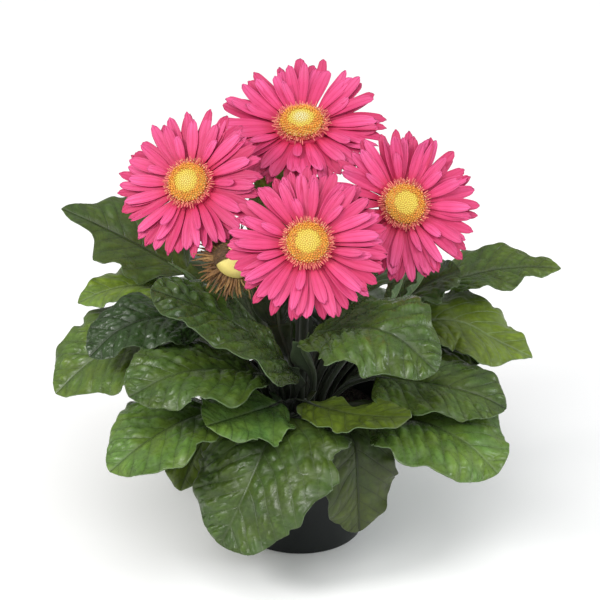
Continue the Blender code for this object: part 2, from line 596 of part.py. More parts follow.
def head_frame(flower):
    """Rotation and place that carry a head's own space to the plant's."""
    facing = Vector(flower["facing"]).normalized()
    turn = Vector((0, 0, 1)).rotation_difference(facing).to_matrix().to_4x4()
    return Matrix.Translation(Vector(flower["head"])) @ turn


def scape(flower):
    """A leafless stem that widens into the cup of overlapping bracts under the head."""
    size = flower["size"]
    frame = head_frame(flower)
    top = socket(flower["crown"])
    foot = top - Vector((0, 0, SOCKET_DEPTH))
    neck = frame @ Vector((0, 0, -CUP_HEIGHT * size - SCAPE_NECK))
    path = Path([top, *flower["bend"], neck])
    facing = Vector(flower["facing"]).normalized()
    path.slopes[-1] = facing * 30.0
    rings = [circle_ring(foot, Vector((1, 0, 0)), Vector((0, 1, 0)), SCAPE_RADIUS, SCAPE_SIDES)]
    for s in path.even(0, len(path.points) - 1, SCAPE_SECTIONS):
        along = path.tangent(s) if s else Vector((0, 0, 1))
        side = (Vector((1, 0, 0)) - along * along.x).normalized()
        rings.append(circle_ring(path.at(s), side, along.cross(side), SCAPE_RADIUS, SCAPE_SIDES))
    side = (Vector((1, 0, 0)) - facing * facing.x).normalized()
    up = facing.cross(side)
    cup = []
    for height, width, shift in BRACT_ROWS:
        ring = []
        for k in range(2 * SCAPE_SIDES):
            out = CUP_RADIUS * size * width * (BRACT_OUT if (k + shift) % 2 else BRACT_IN)
            angle = math.tau * k / (2 * SCAPE_SIDES)
            low = GAP if height == 0.0 else 0.0
            ring.append(frame @ Vector((0, 0, CUP_HEIGHT * size * height - low))
                        + side * (out * math.cos(angle)) + up * (out * math.sin(angle)))
        cup.append(ring)
    points = [p for ring in rings + cup for p in ring]
    last, first = (len(rings) - 1) * SCAPE_SIDES, len(rings) * SCAPE_SIDES
    faces = loft(rings, caps=False) + loft(cup, first, caps=False)
    faces.append(tuple(range(SCAPE_SIDES)))
    faces.append(tuple(range(len(points) - 1, len(points) - 1 - 2 * SCAPE_SIDES, -1)))
    for k in range(SCAPE_SIDES):
        n = (k + 1) % SCAPE_SIDES
        wide, wide_next = first + 2 * k, first + 2 * n
        faces += [(last + k, wide + 1, wide), (last + k, last + n, wide + 1),
                  (last + n, wide_next, wide + 1)]
    return add_object("scape_" + flower["name"], points, faces, "scape_green")


def strap_ring(frame, angle, out, height, half, thick, lean, dish=None):
    """The four corners of a strap's section at a distance out from the head's axis.

    dish, where it is given, is the head's own dishing as a height over each point.
    """
    turn = Matrix.Rotation(angle, 4, "Z")
    ring = []
    for side, face in ((-1, -1), (1, -1), (1, 1), (-1, 1)):
        up = side * half * math.sin(lean) + face * thick / 2
        point = turn @ Vector((out, side * half * math.cos(lean), height + up))
        if dish:
            point.z += dish(point)
        ring.append(frame @ point)
    return ring


def ruff(name, frame, radius, levels, slots, straps, colour):
    """A round plate whose side grows out into straps.

    levels are the heights of the plate's rings. straps maps (band, slot) to the rings of the strap
    that grows from that face of the plate's side, and all the other faces stay closed.
    """
    rings = [[frame @ Vector((radius * math.cos(math.tau * (k - 0.5) / slots),
                              radius * math.sin(math.tau * (k - 0.5) / slots), level))
              for k in range(slots)] for level in levels]
    points = [p for ring in rings for p in ring]
    faces = []
    for band in range(len(levels) - 1):
        for k in range(slots):
            n = (k + 1) % slots
            low, high = band * slots, (band + 1) * slots
            root = (low + k, low + n, high + n, high + k)
            if (band, k) not in straps:
                faces += [root[:3], (root[0], root[2], root[3])]
                continue
            for ring in straps[band, k]:
                here = tuple(range(len(points), len(points) + 4))
                points += ring
                for i in range(4):
                    j = (i + 1) % 4
                    faces += [(root[i], root[j], here[j]), (root[i], here[j], here[i])]
                root = here
            faces.append(root)
    faces.append(tuple(range(slots - 1, -1, -1)))
    faces.append(tuple(range((len(levels) - 1) * slots, len(levels) * slots)))
    return add_object(name, points, faces, colour, sharp=50.0)


def rays(flower):
    """The pink petals of one head, in layers that grow from the side of a round receptacle."""
    draw = random.Random(flower["seed"])
    frame = head_frame(flower)
    size = flower["size"]
    radius = HUB_RADIUS * size
    levels = [0.0]
    for layer in range(len(PETAL_LAYERS)):
        low = PETAL_FOOT + LAYER_STEP * layer
        levels += [low - PETAL_THICKNESS / 2, low + PETAL_THICKNESS / 2]
    levels.append(HUB_THICKNESS)

    def dish(point):
        """Height of the petals' bowl, which rises more on the far side where the head has lift."""
        away = Vector((point.x, point.y, 0.0))
        far = (frame.to_3x3() @ away.normalized()).y
        return (away.length - radius) * math.tan(math.radians(flower["cone"] + flower["lift"] * far))

    straps = {}
    for layer, (first, step, length, half, extra) in enumerate(PETAL_LAYERS):
        for slot in range(first, PETAL_SLOTS, step):
            angle = math.tau * slot / PETAL_SLOTS
            rise = math.radians(extra + draw.uniform(-0.3, 0.3))
            reach = length * size * draw.uniform(0.94, 1.03)
            droop = draw.uniform(1.8, 2.2) - 0.6 * layer
            lean = math.radians(draw.uniform(-3.0, 3.0))
            stray = math.radians(draw.uniform(-2.5, 2.5))
            rings = []
            for share, spread in PETAL_SHAPE:
                out = radius + (reach - radius) * share
                height = PETAL_FOOT + LAYER_STEP * layer + (out - radius) * math.tan(rise)
                rings.append(strap_ring(frame, angle + stray * share, out, height - droop * share**2,
                                        half * size * spread, PETAL_THICKNESS, lean * share, dish))
            straps[2 * layer + 1, slot] = rings
    return ruff("rays_" + flower["name"], frame, radius, levels, PETAL_SLOTS, straps, "ray_pink")


def fringe(flower):
    """The ring of tiny inner florets, as two rows of teeth round a thin plate."""
    frame = head_frame(flower)
    size = flower["size"]
    count = 2 * FRINGE_TEETH
    low, middle, high = HUB_THICKNESS + GAP, HUB_THICKNESS + GAP + 0.9, HUB_THICKNESS + GAP + 1.7
    rows = ((low, FRINGE_RADIUS - 2.6, 0), (middle, FRINGE_RADIUS, 0), (high, FRINGE_RADIUS - 2.0, 1))
    rings = []
    for height, radius, shift in rows:
        ring = []
        for k in range(count):
            out = radius + (0.9 if (k + shift) % 2 else -0.9)
            angle = math.tau * k / count
            lift = 0.7 if (k + shift) % 2 and height > low else 0.0
            ring.append(frame @ Vector((out * size * math.cos(angle), out * size * math.sin(angle),
                                        height + lift)))
        rings.append(ring)
    points = [p for ring in rings for p in ring]
    faces = loft(rings)
    return add_object("fringe_" + flower["name"], points, faces, "fringe_salmon")


def disc(flower, low, radius, height, colour, name):
    """A low dome of florets: rows of bumps raised from it by turns."""
    frame = head_frame(flower)
    sides = 16
    rows = ((0.0, 0.96, 0.0), (0.35, 1.0, 0.35), (0.70, 0.84, 0.45), (0.88, 0.62, 0.45),
            (1.0, 0.34, 0.30))
    rings = []
    for i, (share, out, bump) in enumerate(rows):
        ring = []
        for k in range(sides):
            angle = math.tau * k / sides
            raised = bump if (k + i) % 2 else -bump
            ring.append(frame @ Vector((radius * out * math.cos(angle), radius * out * math.sin(angle),
                                        low + height * share + raised)))
        rings.append(ring)
    points = [p for ring in rings for p in ring]
    return add_object(name, points, loft(rings), colour)


def flower_head(flower):
    """One open flower on its stem."""
    scape(flower)
    rays(flower)
    fringe(flower)
    low = HUB_THICKNESS + 2 * GAP + 1.9
    size = flower["size"]
    disc(flower, low, DOME_RADIUS * size, DOME_HEIGHT, "disc_yellow", "disc_" + flower["name"])


def spent_head(flower):
    """The withered head: a pale dome over a skirt of shrivelled florets."""
    draw = random.Random(21)
    frame = head_frame(flower)
    scape(flower)
    straps = {}
    for layer in range(2):
        for slot in range(layer, SHRED_SLOTS, 2):
            angle = math.tau * slot / SHRED_SLOTS + math.radians(draw.uniform(-4.0, 4.0))
            reach = draw.uniform(*SHRED_REACH) - SHRED_TUCK * max(math.cos(angle), 0.0)
            drop = draw.uniform(5.0, 8.0) - 4.0 * layer
            rings = []
            for share, half in ((0.5, 0.8), (1.0, 0.45)):
                out = SHRED_PLATE_RADIUS + (reach - SHRED_PLATE_RADIUS) * share
                height = 0.9 + 0.9 * layer - drop * share**2
                rings.append(strap_ring(frame, angle, out, height, half, SHRED_THICKNESS, 0.0))
            straps[2 * layer + 1, slot] = rings
    levels = (0.0, 0.55, 1.25, 1.45, 2.15, 2.6)
    ruff("florets_" + flower["name"], frame, SHRED_PLATE_RADIUS, levels, SHRED_SLOTS, straps,
         "spent_brown")
    disc(flower, levels[-1] + GAP + 0.1, SPENT_DOME_RADIUS, SPENT_DOME_HEIGHT, "spent_yellow",
         "disc_" + flower["name"])


def main():
    for old in list(bpy.data.objects):
        bpy.data.objects.remove(old)
    pot()
    leaf_drill = (STALK_RADIUS + GAP) / math.cos(math.pi / SOCKET_SIDES)
    scape_drill = (SCAPE_RADIUS + GAP) / math.cos(math.pi / SOCKET_SIDES)
    sockets = [(socket(leaf["crown"]), leaf_drill) for leaf in LEAVES]
    sockets += [(socket(flower["crown"]), scape_drill) for flower in [*FLOWERS, SPENT]]
    soil(sockets)
    for leaf in LEAVES:
        leaf_solid(leaf)
    for flower in FLOWERS:
        flower_head(flower)
    spent_head(SPENT)


main()
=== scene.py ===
"""Looks of the potted gerbera: fine leaves, flowers, pot and soil in place of the plain solids.

Lengths are in millimetres until a mesh is made. +Z is up, the front of the plant faces -Y, and the
origin is the middle of the pot's underside.
"""

import json
import math
import random

import bmesh
import bpy
import numpy as np
from mathutils import Matrix, Vector, noise

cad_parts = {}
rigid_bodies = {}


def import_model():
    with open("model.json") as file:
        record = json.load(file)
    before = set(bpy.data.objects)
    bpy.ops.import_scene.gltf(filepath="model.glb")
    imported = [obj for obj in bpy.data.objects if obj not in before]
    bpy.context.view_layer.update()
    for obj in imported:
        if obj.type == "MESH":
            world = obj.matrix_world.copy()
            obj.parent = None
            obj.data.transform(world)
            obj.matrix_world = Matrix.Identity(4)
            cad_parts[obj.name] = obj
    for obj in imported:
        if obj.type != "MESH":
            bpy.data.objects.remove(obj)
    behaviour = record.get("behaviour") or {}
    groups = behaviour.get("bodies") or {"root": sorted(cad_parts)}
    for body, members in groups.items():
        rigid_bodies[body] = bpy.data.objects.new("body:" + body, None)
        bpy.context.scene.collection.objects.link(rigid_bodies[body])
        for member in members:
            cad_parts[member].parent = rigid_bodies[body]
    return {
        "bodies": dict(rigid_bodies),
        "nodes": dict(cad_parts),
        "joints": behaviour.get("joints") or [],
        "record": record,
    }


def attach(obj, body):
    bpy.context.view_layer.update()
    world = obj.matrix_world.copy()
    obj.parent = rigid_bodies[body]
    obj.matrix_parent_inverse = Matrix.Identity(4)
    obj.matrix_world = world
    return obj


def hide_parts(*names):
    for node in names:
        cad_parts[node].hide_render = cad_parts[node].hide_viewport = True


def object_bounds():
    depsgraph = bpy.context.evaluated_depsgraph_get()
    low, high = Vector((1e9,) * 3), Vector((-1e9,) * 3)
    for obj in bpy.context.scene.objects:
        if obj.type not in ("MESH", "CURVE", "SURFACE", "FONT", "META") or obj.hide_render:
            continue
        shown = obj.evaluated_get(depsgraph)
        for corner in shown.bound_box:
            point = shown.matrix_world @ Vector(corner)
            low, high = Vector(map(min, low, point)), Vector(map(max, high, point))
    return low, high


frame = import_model()
CAD_BOX = [list(corner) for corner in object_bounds()]

MM = 0.001
GOLDEN_ANGLE = math.radians(137.508)
UP = Vector((0, 0, 1))
RIGHT = Vector((1, 0, 0))
FAR = Vector((0, 1, 0))
AXIS = 0.01                   # radius at which a turned body is closed on its axis

# Camera: as far and as steep as the photograph's
CAMERA_DISTANCE = 1400.0
CAMERA_PITCH = 24.5
CAMERA_AIM = 147.0            # height over the floor of the point in the middle of the picture
CAMERA_LENS = 146.3
CAMERA_SENSOR = 36.0

# Lights, in metres
FLOOR_HALF = 12.0
KEY_STRENGTH = 1.26
KEY_SPREAD = 50.0
KEY_DIRECTION = (0.15, 0.55, -0.82)
SOFT_LIGHTS = (               # name, place, diameter, power and colour
    ("soft_left", (-0.95, -0.8, 1.1), 0.45, 11.0, (1.0, 0.99, 0.98)),
    ("soft_right", (1.2, -0.4, 0.9), 0.6, 8.0, (0.92, 0.96, 1.0)),
)
SOFT_LIGHT_AIM = (0.0, 0.0, 0.15)
SKY_STRENGTH = 0.60

# Pot
POT_HEIGHT = 88.0
POT_RIM_RADIUS = 52.5
POT_COLLAR_RADIUS = 49.5
POT_FOOT_RADIUS = 37.0
POT_COLLAR_DROP = 14.0
POT_STEP = 1.6
POT_WALL = 1.5
POT_FLOOR = 2.4
POT_SIDES = 112
POT_SHARP = 32.0              # faces that meet at a larger angle keep a sharp edge, in degrees
DRAIN_HOLES = 6
DRAIN_RADIUS = 3.5
DRAIN_CIRCLE = 26.0
DRAIN_SIDES = 24

# Soil
SOIL_TOP = 76.0
SOIL_MOUND = 1.0
SOIL_SINK = 1.5
SOIL_RINGS = 34
SOIL_SIDES = 110
SOIL_CRUMBS = 900
SOIL_CALM = 27.0              # radius inside which the soil is nearly smooth
SOIL_FLAT = 29.5              # radius from which it falls towards the wall
SOIL_SLOPE_RUN = 17.0
SOIL_DEPTH = 12.0             # of the layer that is modelled
SOIL_RIM_GAP = 1.0
CRUMB_SIZES = (0.4, 1.3)

# Crown
CROWN_RING_RADIUS = (5.8, 12.2, 18.4, 24.6)
CROWN_RING_SLOTS = (5, 12, 16, 20)
CROWN_RING_START = (-90.0, 0.0, 0.0, 0.0)
SOCKET_DEPTH = 8.0

# Leaves
STALK_RADIUS = 1.6
STALK_SIDES = 10
STALK_STEPS = 26
STALK_UNDER_BLADE = 0.16      # share of the midrib that the stalk carries from below
STALK_DARK = 0.14             # painted light on a stalk at the crown, where it is painted in shade; it is full above the second height
STALK_LIT = (98.0, 165.0)
MIDRIB_PARTS = 40
BLADE_THICKNESS = 0.5
BLADE_SPAN = (0.004, 0.985)
BLADE_TIP = 0.05              # share of the midrib over which the tip is rounded off
BLADE_CROWDING = 0.55         # how much closer the mesh's rows stand at the two ends
BLADE_LEAST = 0.25
BLADE_NOISES = (              # shift and size of the noises that stray, swell and dent
    (0.0, 17.0),
    (50.0, 28.0),
    (90.0, 12.0),
)
SWELL_HEIGHT = 1.5
DENT_HEIGHT = 0.8
EDGE_WAVERS = ((9.0, 0.026), (26.0, 0.014))    # rate along the edge and share of the width
NOTCH_RATE = 11.0
NOTCH_DEPTH = 0.09
NOTCH_SPAN = (0.22, 0.50)
CREASE_WIDTH = 1.7
CREASE_DEPTH = 1.2
RIB_WIDTH = 1.3
RIB_DEPTH = 0.9
CROWN_SHADE = (26.0, 62.0)    # distance from the axis over which a blade comes out of the crown's painted shade
WING_START = 0.25             # share of the stalk above which the blade runs down it as two wings
WING_END = 1.04
WING_WIDTH = 5.5
WING_STEPS = 22
WING_ACROSS = 8
LOBES = 3.4
LOBE_SHIFT = 1.3
WAVES = 2.6
WAVE_SHIFT = 1.9
WAVE_FULL_WIDTH = 12.0
FRILLS = 7.3
FRILL_SHIFT = 2.3
FRILL_HEIGHT = 0.6
SIDE_VEIN_STEP = 11.0         # distance between side veins along the midrib
SIDE_VEIN_SLANT = 0.80        # how far a side vein runs towards the tip for each step outwards
SIDE_VEIN_BEND = 0.004
SIDE_VEIN_STRAY = 0.24
SIDE_VEIN_START = 0.15
CELL_SHAPE = 1.25             # how much wider than long a cell of the vein net is
PILLOW_SHARE = 0.65

# Flowers
SCAPE_RADIUS = 2.5
SCAPE_SIDES = 18
SCAPE_STEPS = 60
SCAPE_NECK = 4.0
SCAPE_LAST_SLOPE = 30.0
SCAPE_DARK = 0.10             # painted light on a scape near the crown, where it is painted in shade
CUP_RADIUS = 12.5
CUP_HEIGHT = 14.0
CUP_PROFILE = ((0.36, 1.02), (0.66, 0.74), (0.86, 0.40), (0.93, 0.1))    # shares of radius and height
BRACT_ROWS = (                # where a row starts on the cup, count and length of its bracts
    (-0.95, 13, 8.5),
    (-0.72, 16, 8.5),
    (-0.48, 18, 7.5),
)
BRACT_STEPS = 6
BRACT_ACROSS = 4
BRACT_HALF = 2.1
BRACT_THICKNESS = 0.4
BRACT_LAYER = 0.135           # how much further off the cup each row lies
PETAL_ROWS = (                # count, turn, length, its spread, half width, foot, rise, droop, and depth: painted shade on a row that lies under others
    (27, 0.0, 45.5, 0.13, 3.7, 0.7, -1.5, 2.0, 0.9),
    (24, 0.5, 44.5, 0.17, 3.6, 1.5, 0.0, 1.8, 0.4),
    (14, 0.2, 41.0, 0.20, 3.2, 2.6, 1.5, 1.3, 0.1),
    (6, 0.6, 32.0, 0.30, 2.4, 3.4, 5.0, 0.8, 0.0),
)
PETAL_THICKNESS = 0.36
PETAL_STEPS = 18
PETAL_ACROSS = 8
PETAL_ROOT = 0.16             # share of a petal's length that runs inwards under the disc
PETAL_TIP = 0.90
PETAL_GROOVES = 2.5
PETAL_GROOVE_DEPTH = 0.24
HUB_RADIUS = 14.0
HUB_THICKNESS = 4.2
HUB_SIDES = 40
PLATE_SIDES = 36
STRAP_CORNERS = ((-1, -1), (1, -1), (1, 1), (-1, 1))
TONGUE_STEPS = 4
TONGUE_HALF = 0.36
TONGUE_TIP = 0.35
FRINGE_ROWS = (               # radius of the row's foot, count, length and rise of its florets
    (11.6, 74, 4.2, 6.0),
    (11.0, 66, 3.7, 22.0),
    (10.4, 60, 3.0, 40.0),
)
POLLEN_ROWS = (               # radius, count and height of a row of stigma tips
    (13.0, 26, 6.8),
    (12.0, 34, 7.5),
    (11.2, 36, 8.1),
)
POLLEN_RADIUS = 0.27
DISC_BUDS = 290
DISC_OPEN = 0.57              # share of the radius outside which the florets are open
DISC_SUNK = 0.45
BUD_SIDES = 6
BUD_PROFILE = ((-0.3, 0.95), (0.45, 1.0), (0.85, 0.62), (1.0, 0.16))    # shares of height and radius
BUD_ALONG = (0.0, 0.5, 0.9, 1.0)
DOME_RADIUS = 11.6
DOME_HEIGHT = 4.6
GAP = 0.3
SHREDS = 230
CURLED_SHREDS = 60
SHRED_STEPS = 8
SHRED_PLATE_RADIUS = 11.0
SHRED_PLATE_SIDES = 30
SHRED_REACH = (19.0, 24.5)
SHRED_TUCK = 4.5
SPENT_DOME_RADIUS = 12.0
SPENT_DOME_HEIGHT = 7.5
SPENT_DOME_LOW = 3.0
SPENT_DOME_SIDES = 48
SPENT_DOME_RINGS = 20

# How each leaf looks. tone and warm run from the blade's foot to its tip: tone is how light it is, and
# warm how yellow its green. pale veins stand out light; the others, and the creases of the vein net, get
# painted shade. pucker is the depth of the bumps and cell their size. shade is how dark the painted shade
# makes the blade near the crown, and lit the heights between which that painted shade ends.
LOOK_DEFAULTS = dict(tone=(1.1, 1.1), warm=(0.4, 0.4), pale=0.25, gloss=0.4, pucker=1.8, cell=4.8,
                     shade=0.45, lit=(105.0, 145.0), mesh=(98, 60))
# The back leaves get deep painted shade near the crown.
BACK_LOOK = dict(tone=(0.9, 1.0), pucker=1.6, cell=5.5, shade=0.2, mesh=(60, 38))
LEAF_LOOKS = {
    "leaf_front_left": dict(tone=(0.80, 0.98), warm=(0.5, 0.4), pale=0.5, gloss=0.35, pucker=3.4, cell=5.0),
    # tone here is partly the leaf's own lightness and partly painted light, lifted because the leaf lies in
    # shade under its neighbours.
    "leaf_front_over": dict(tone=(2.1, 2.0), warm=(0.1, 0.35), pale=0.1, gloss=1.0, pucker=1.2, cell=7.0,
                            shade=0.9),
    "leaf_hanging": dict(tone=(0.42, 0.70), warm=(0.3, 1.2), pale=0.1, gloss=0.0, pucker=0.8, cell=6.0),
    "leaf_front_centre": dict(tone=(1.3, 1.1), warm=(1.0, 1.2), pale=0.2, gloss=0.3, pucker=0.8, cell=7.0,
                              shade=0.7),
    "leaf_low_right": dict(tone=(1.1, 1.95), warm=(0.45, 0.4), pale=0.35, gloss=0.8, pucker=2.9, cell=7.5),
    "leaf_dark_right": dict(tone=(1.0, 1.1), warm=(0.6, 0.4), pale=0.1, gloss=0.7, pucker=1.9, cell=5.0),
    "leaf_olive_right": dict(tone=(0.9, 1.0), warm=(0.6, 0.6), gloss=0.3, mesh=(70, 44)),
    "leaf_glossy": dict(tone=(0.98, 1.10), warm=(0.6, 0.4), gloss=1.0, pucker=3.4, cell=7.5),
    "leaf_yellow_right": dict(tone=(0.7, 2.1), warm=(0.9, 1.3), pale=0.6, pucker=1.4, cell=6.0),
    "leaf_upper_right": dict(tone=(1.0, 1.35), warm=(0.4, 0.7), pale=0.3, gloss=0.7, pucker=2.3, cell=4.5),
    "leaf_back_right_dark": dict(tone=(0.7, 0.8), shade=0.3, mesh=(70, 44)),
    "leaf_bumpy_left": dict(tone=(0.85, 0.75), warm=(0.5, 0.3), pale=0.15, gloss=1.2, pucker=3.8, cell=6.0),
    "leaf_left_forward": dict(tone=(0.92, 1.0), warm=(0.5, 0.4), gloss=0.7, pucker=2.8, cell=4.4),
    "leaf_low_left": dict(tone=(1.2, 1.95), warm=(0.5, 0.4), pale=0.15, gloss=0.7, pucker=2.4, cell=5.0),
    "leaf_under_left": dict(tone=(1.0, 1.4), warm=(0.8, 1.1), pucker=0.8, mesh=(70, 44)),
    "leaf_blue_left": dict(tone=(0.57, 0.60), warm=(-0.1, -0.1), pale=0.2, gloss=0.9, pucker=2.6, cell=3.6),
    "leaf_far_left": dict(tone=(1.0, 1.5), warm=(0.6, 0.6), pale=0.3, gloss=0.6, pucker=2.8, cell=5.5),
    "leaf_yellow_left": dict(tone=(1.5, 2.3), warm=(1.0, 0.8), pale=0.35, gloss=0.3, pucker=0.6, cell=6.0),
    "leaf_upper_left": dict(tone=(0.9, 0.85), warm=(0.7, 0.5), pale=0.2, gloss=0.5, pucker=1.2, cell=6.0),
    # The two upright leaves are painted in deep shade below the heights in lit.
    "leaf_bright_upright": dict(tone=(0.9, 3.0), warm=(0.6, 1.1), pale=0.4, shade=0.10, lit=(155.0, 200.0),
                                mesh=(80, 40)),
    "leaf_rear_upright": dict(tone=(0.7, 1.0), warm=(0.4, 0.5), shade=0.10, lit=(155.0, 200.0),
                              mesh=(80, 40)),
    "leaf_young_front": dict(tone=(1.0, 1.0), pucker=0.5, shade=0.9, mesh=(50, 26)),
    "leaf_young_back": dict(tone=(1.0, 1.0), pucker=0.5, shade=0.9, mesh=(50, 26)),
}
for name in ("back_right", "back", "back_left", "back_mid_left", "back_mid_right", "back_centre",
             "back_high", "back_high_right"):
    LEAF_LOOKS["leaf_" + name] = BACK_LOOK

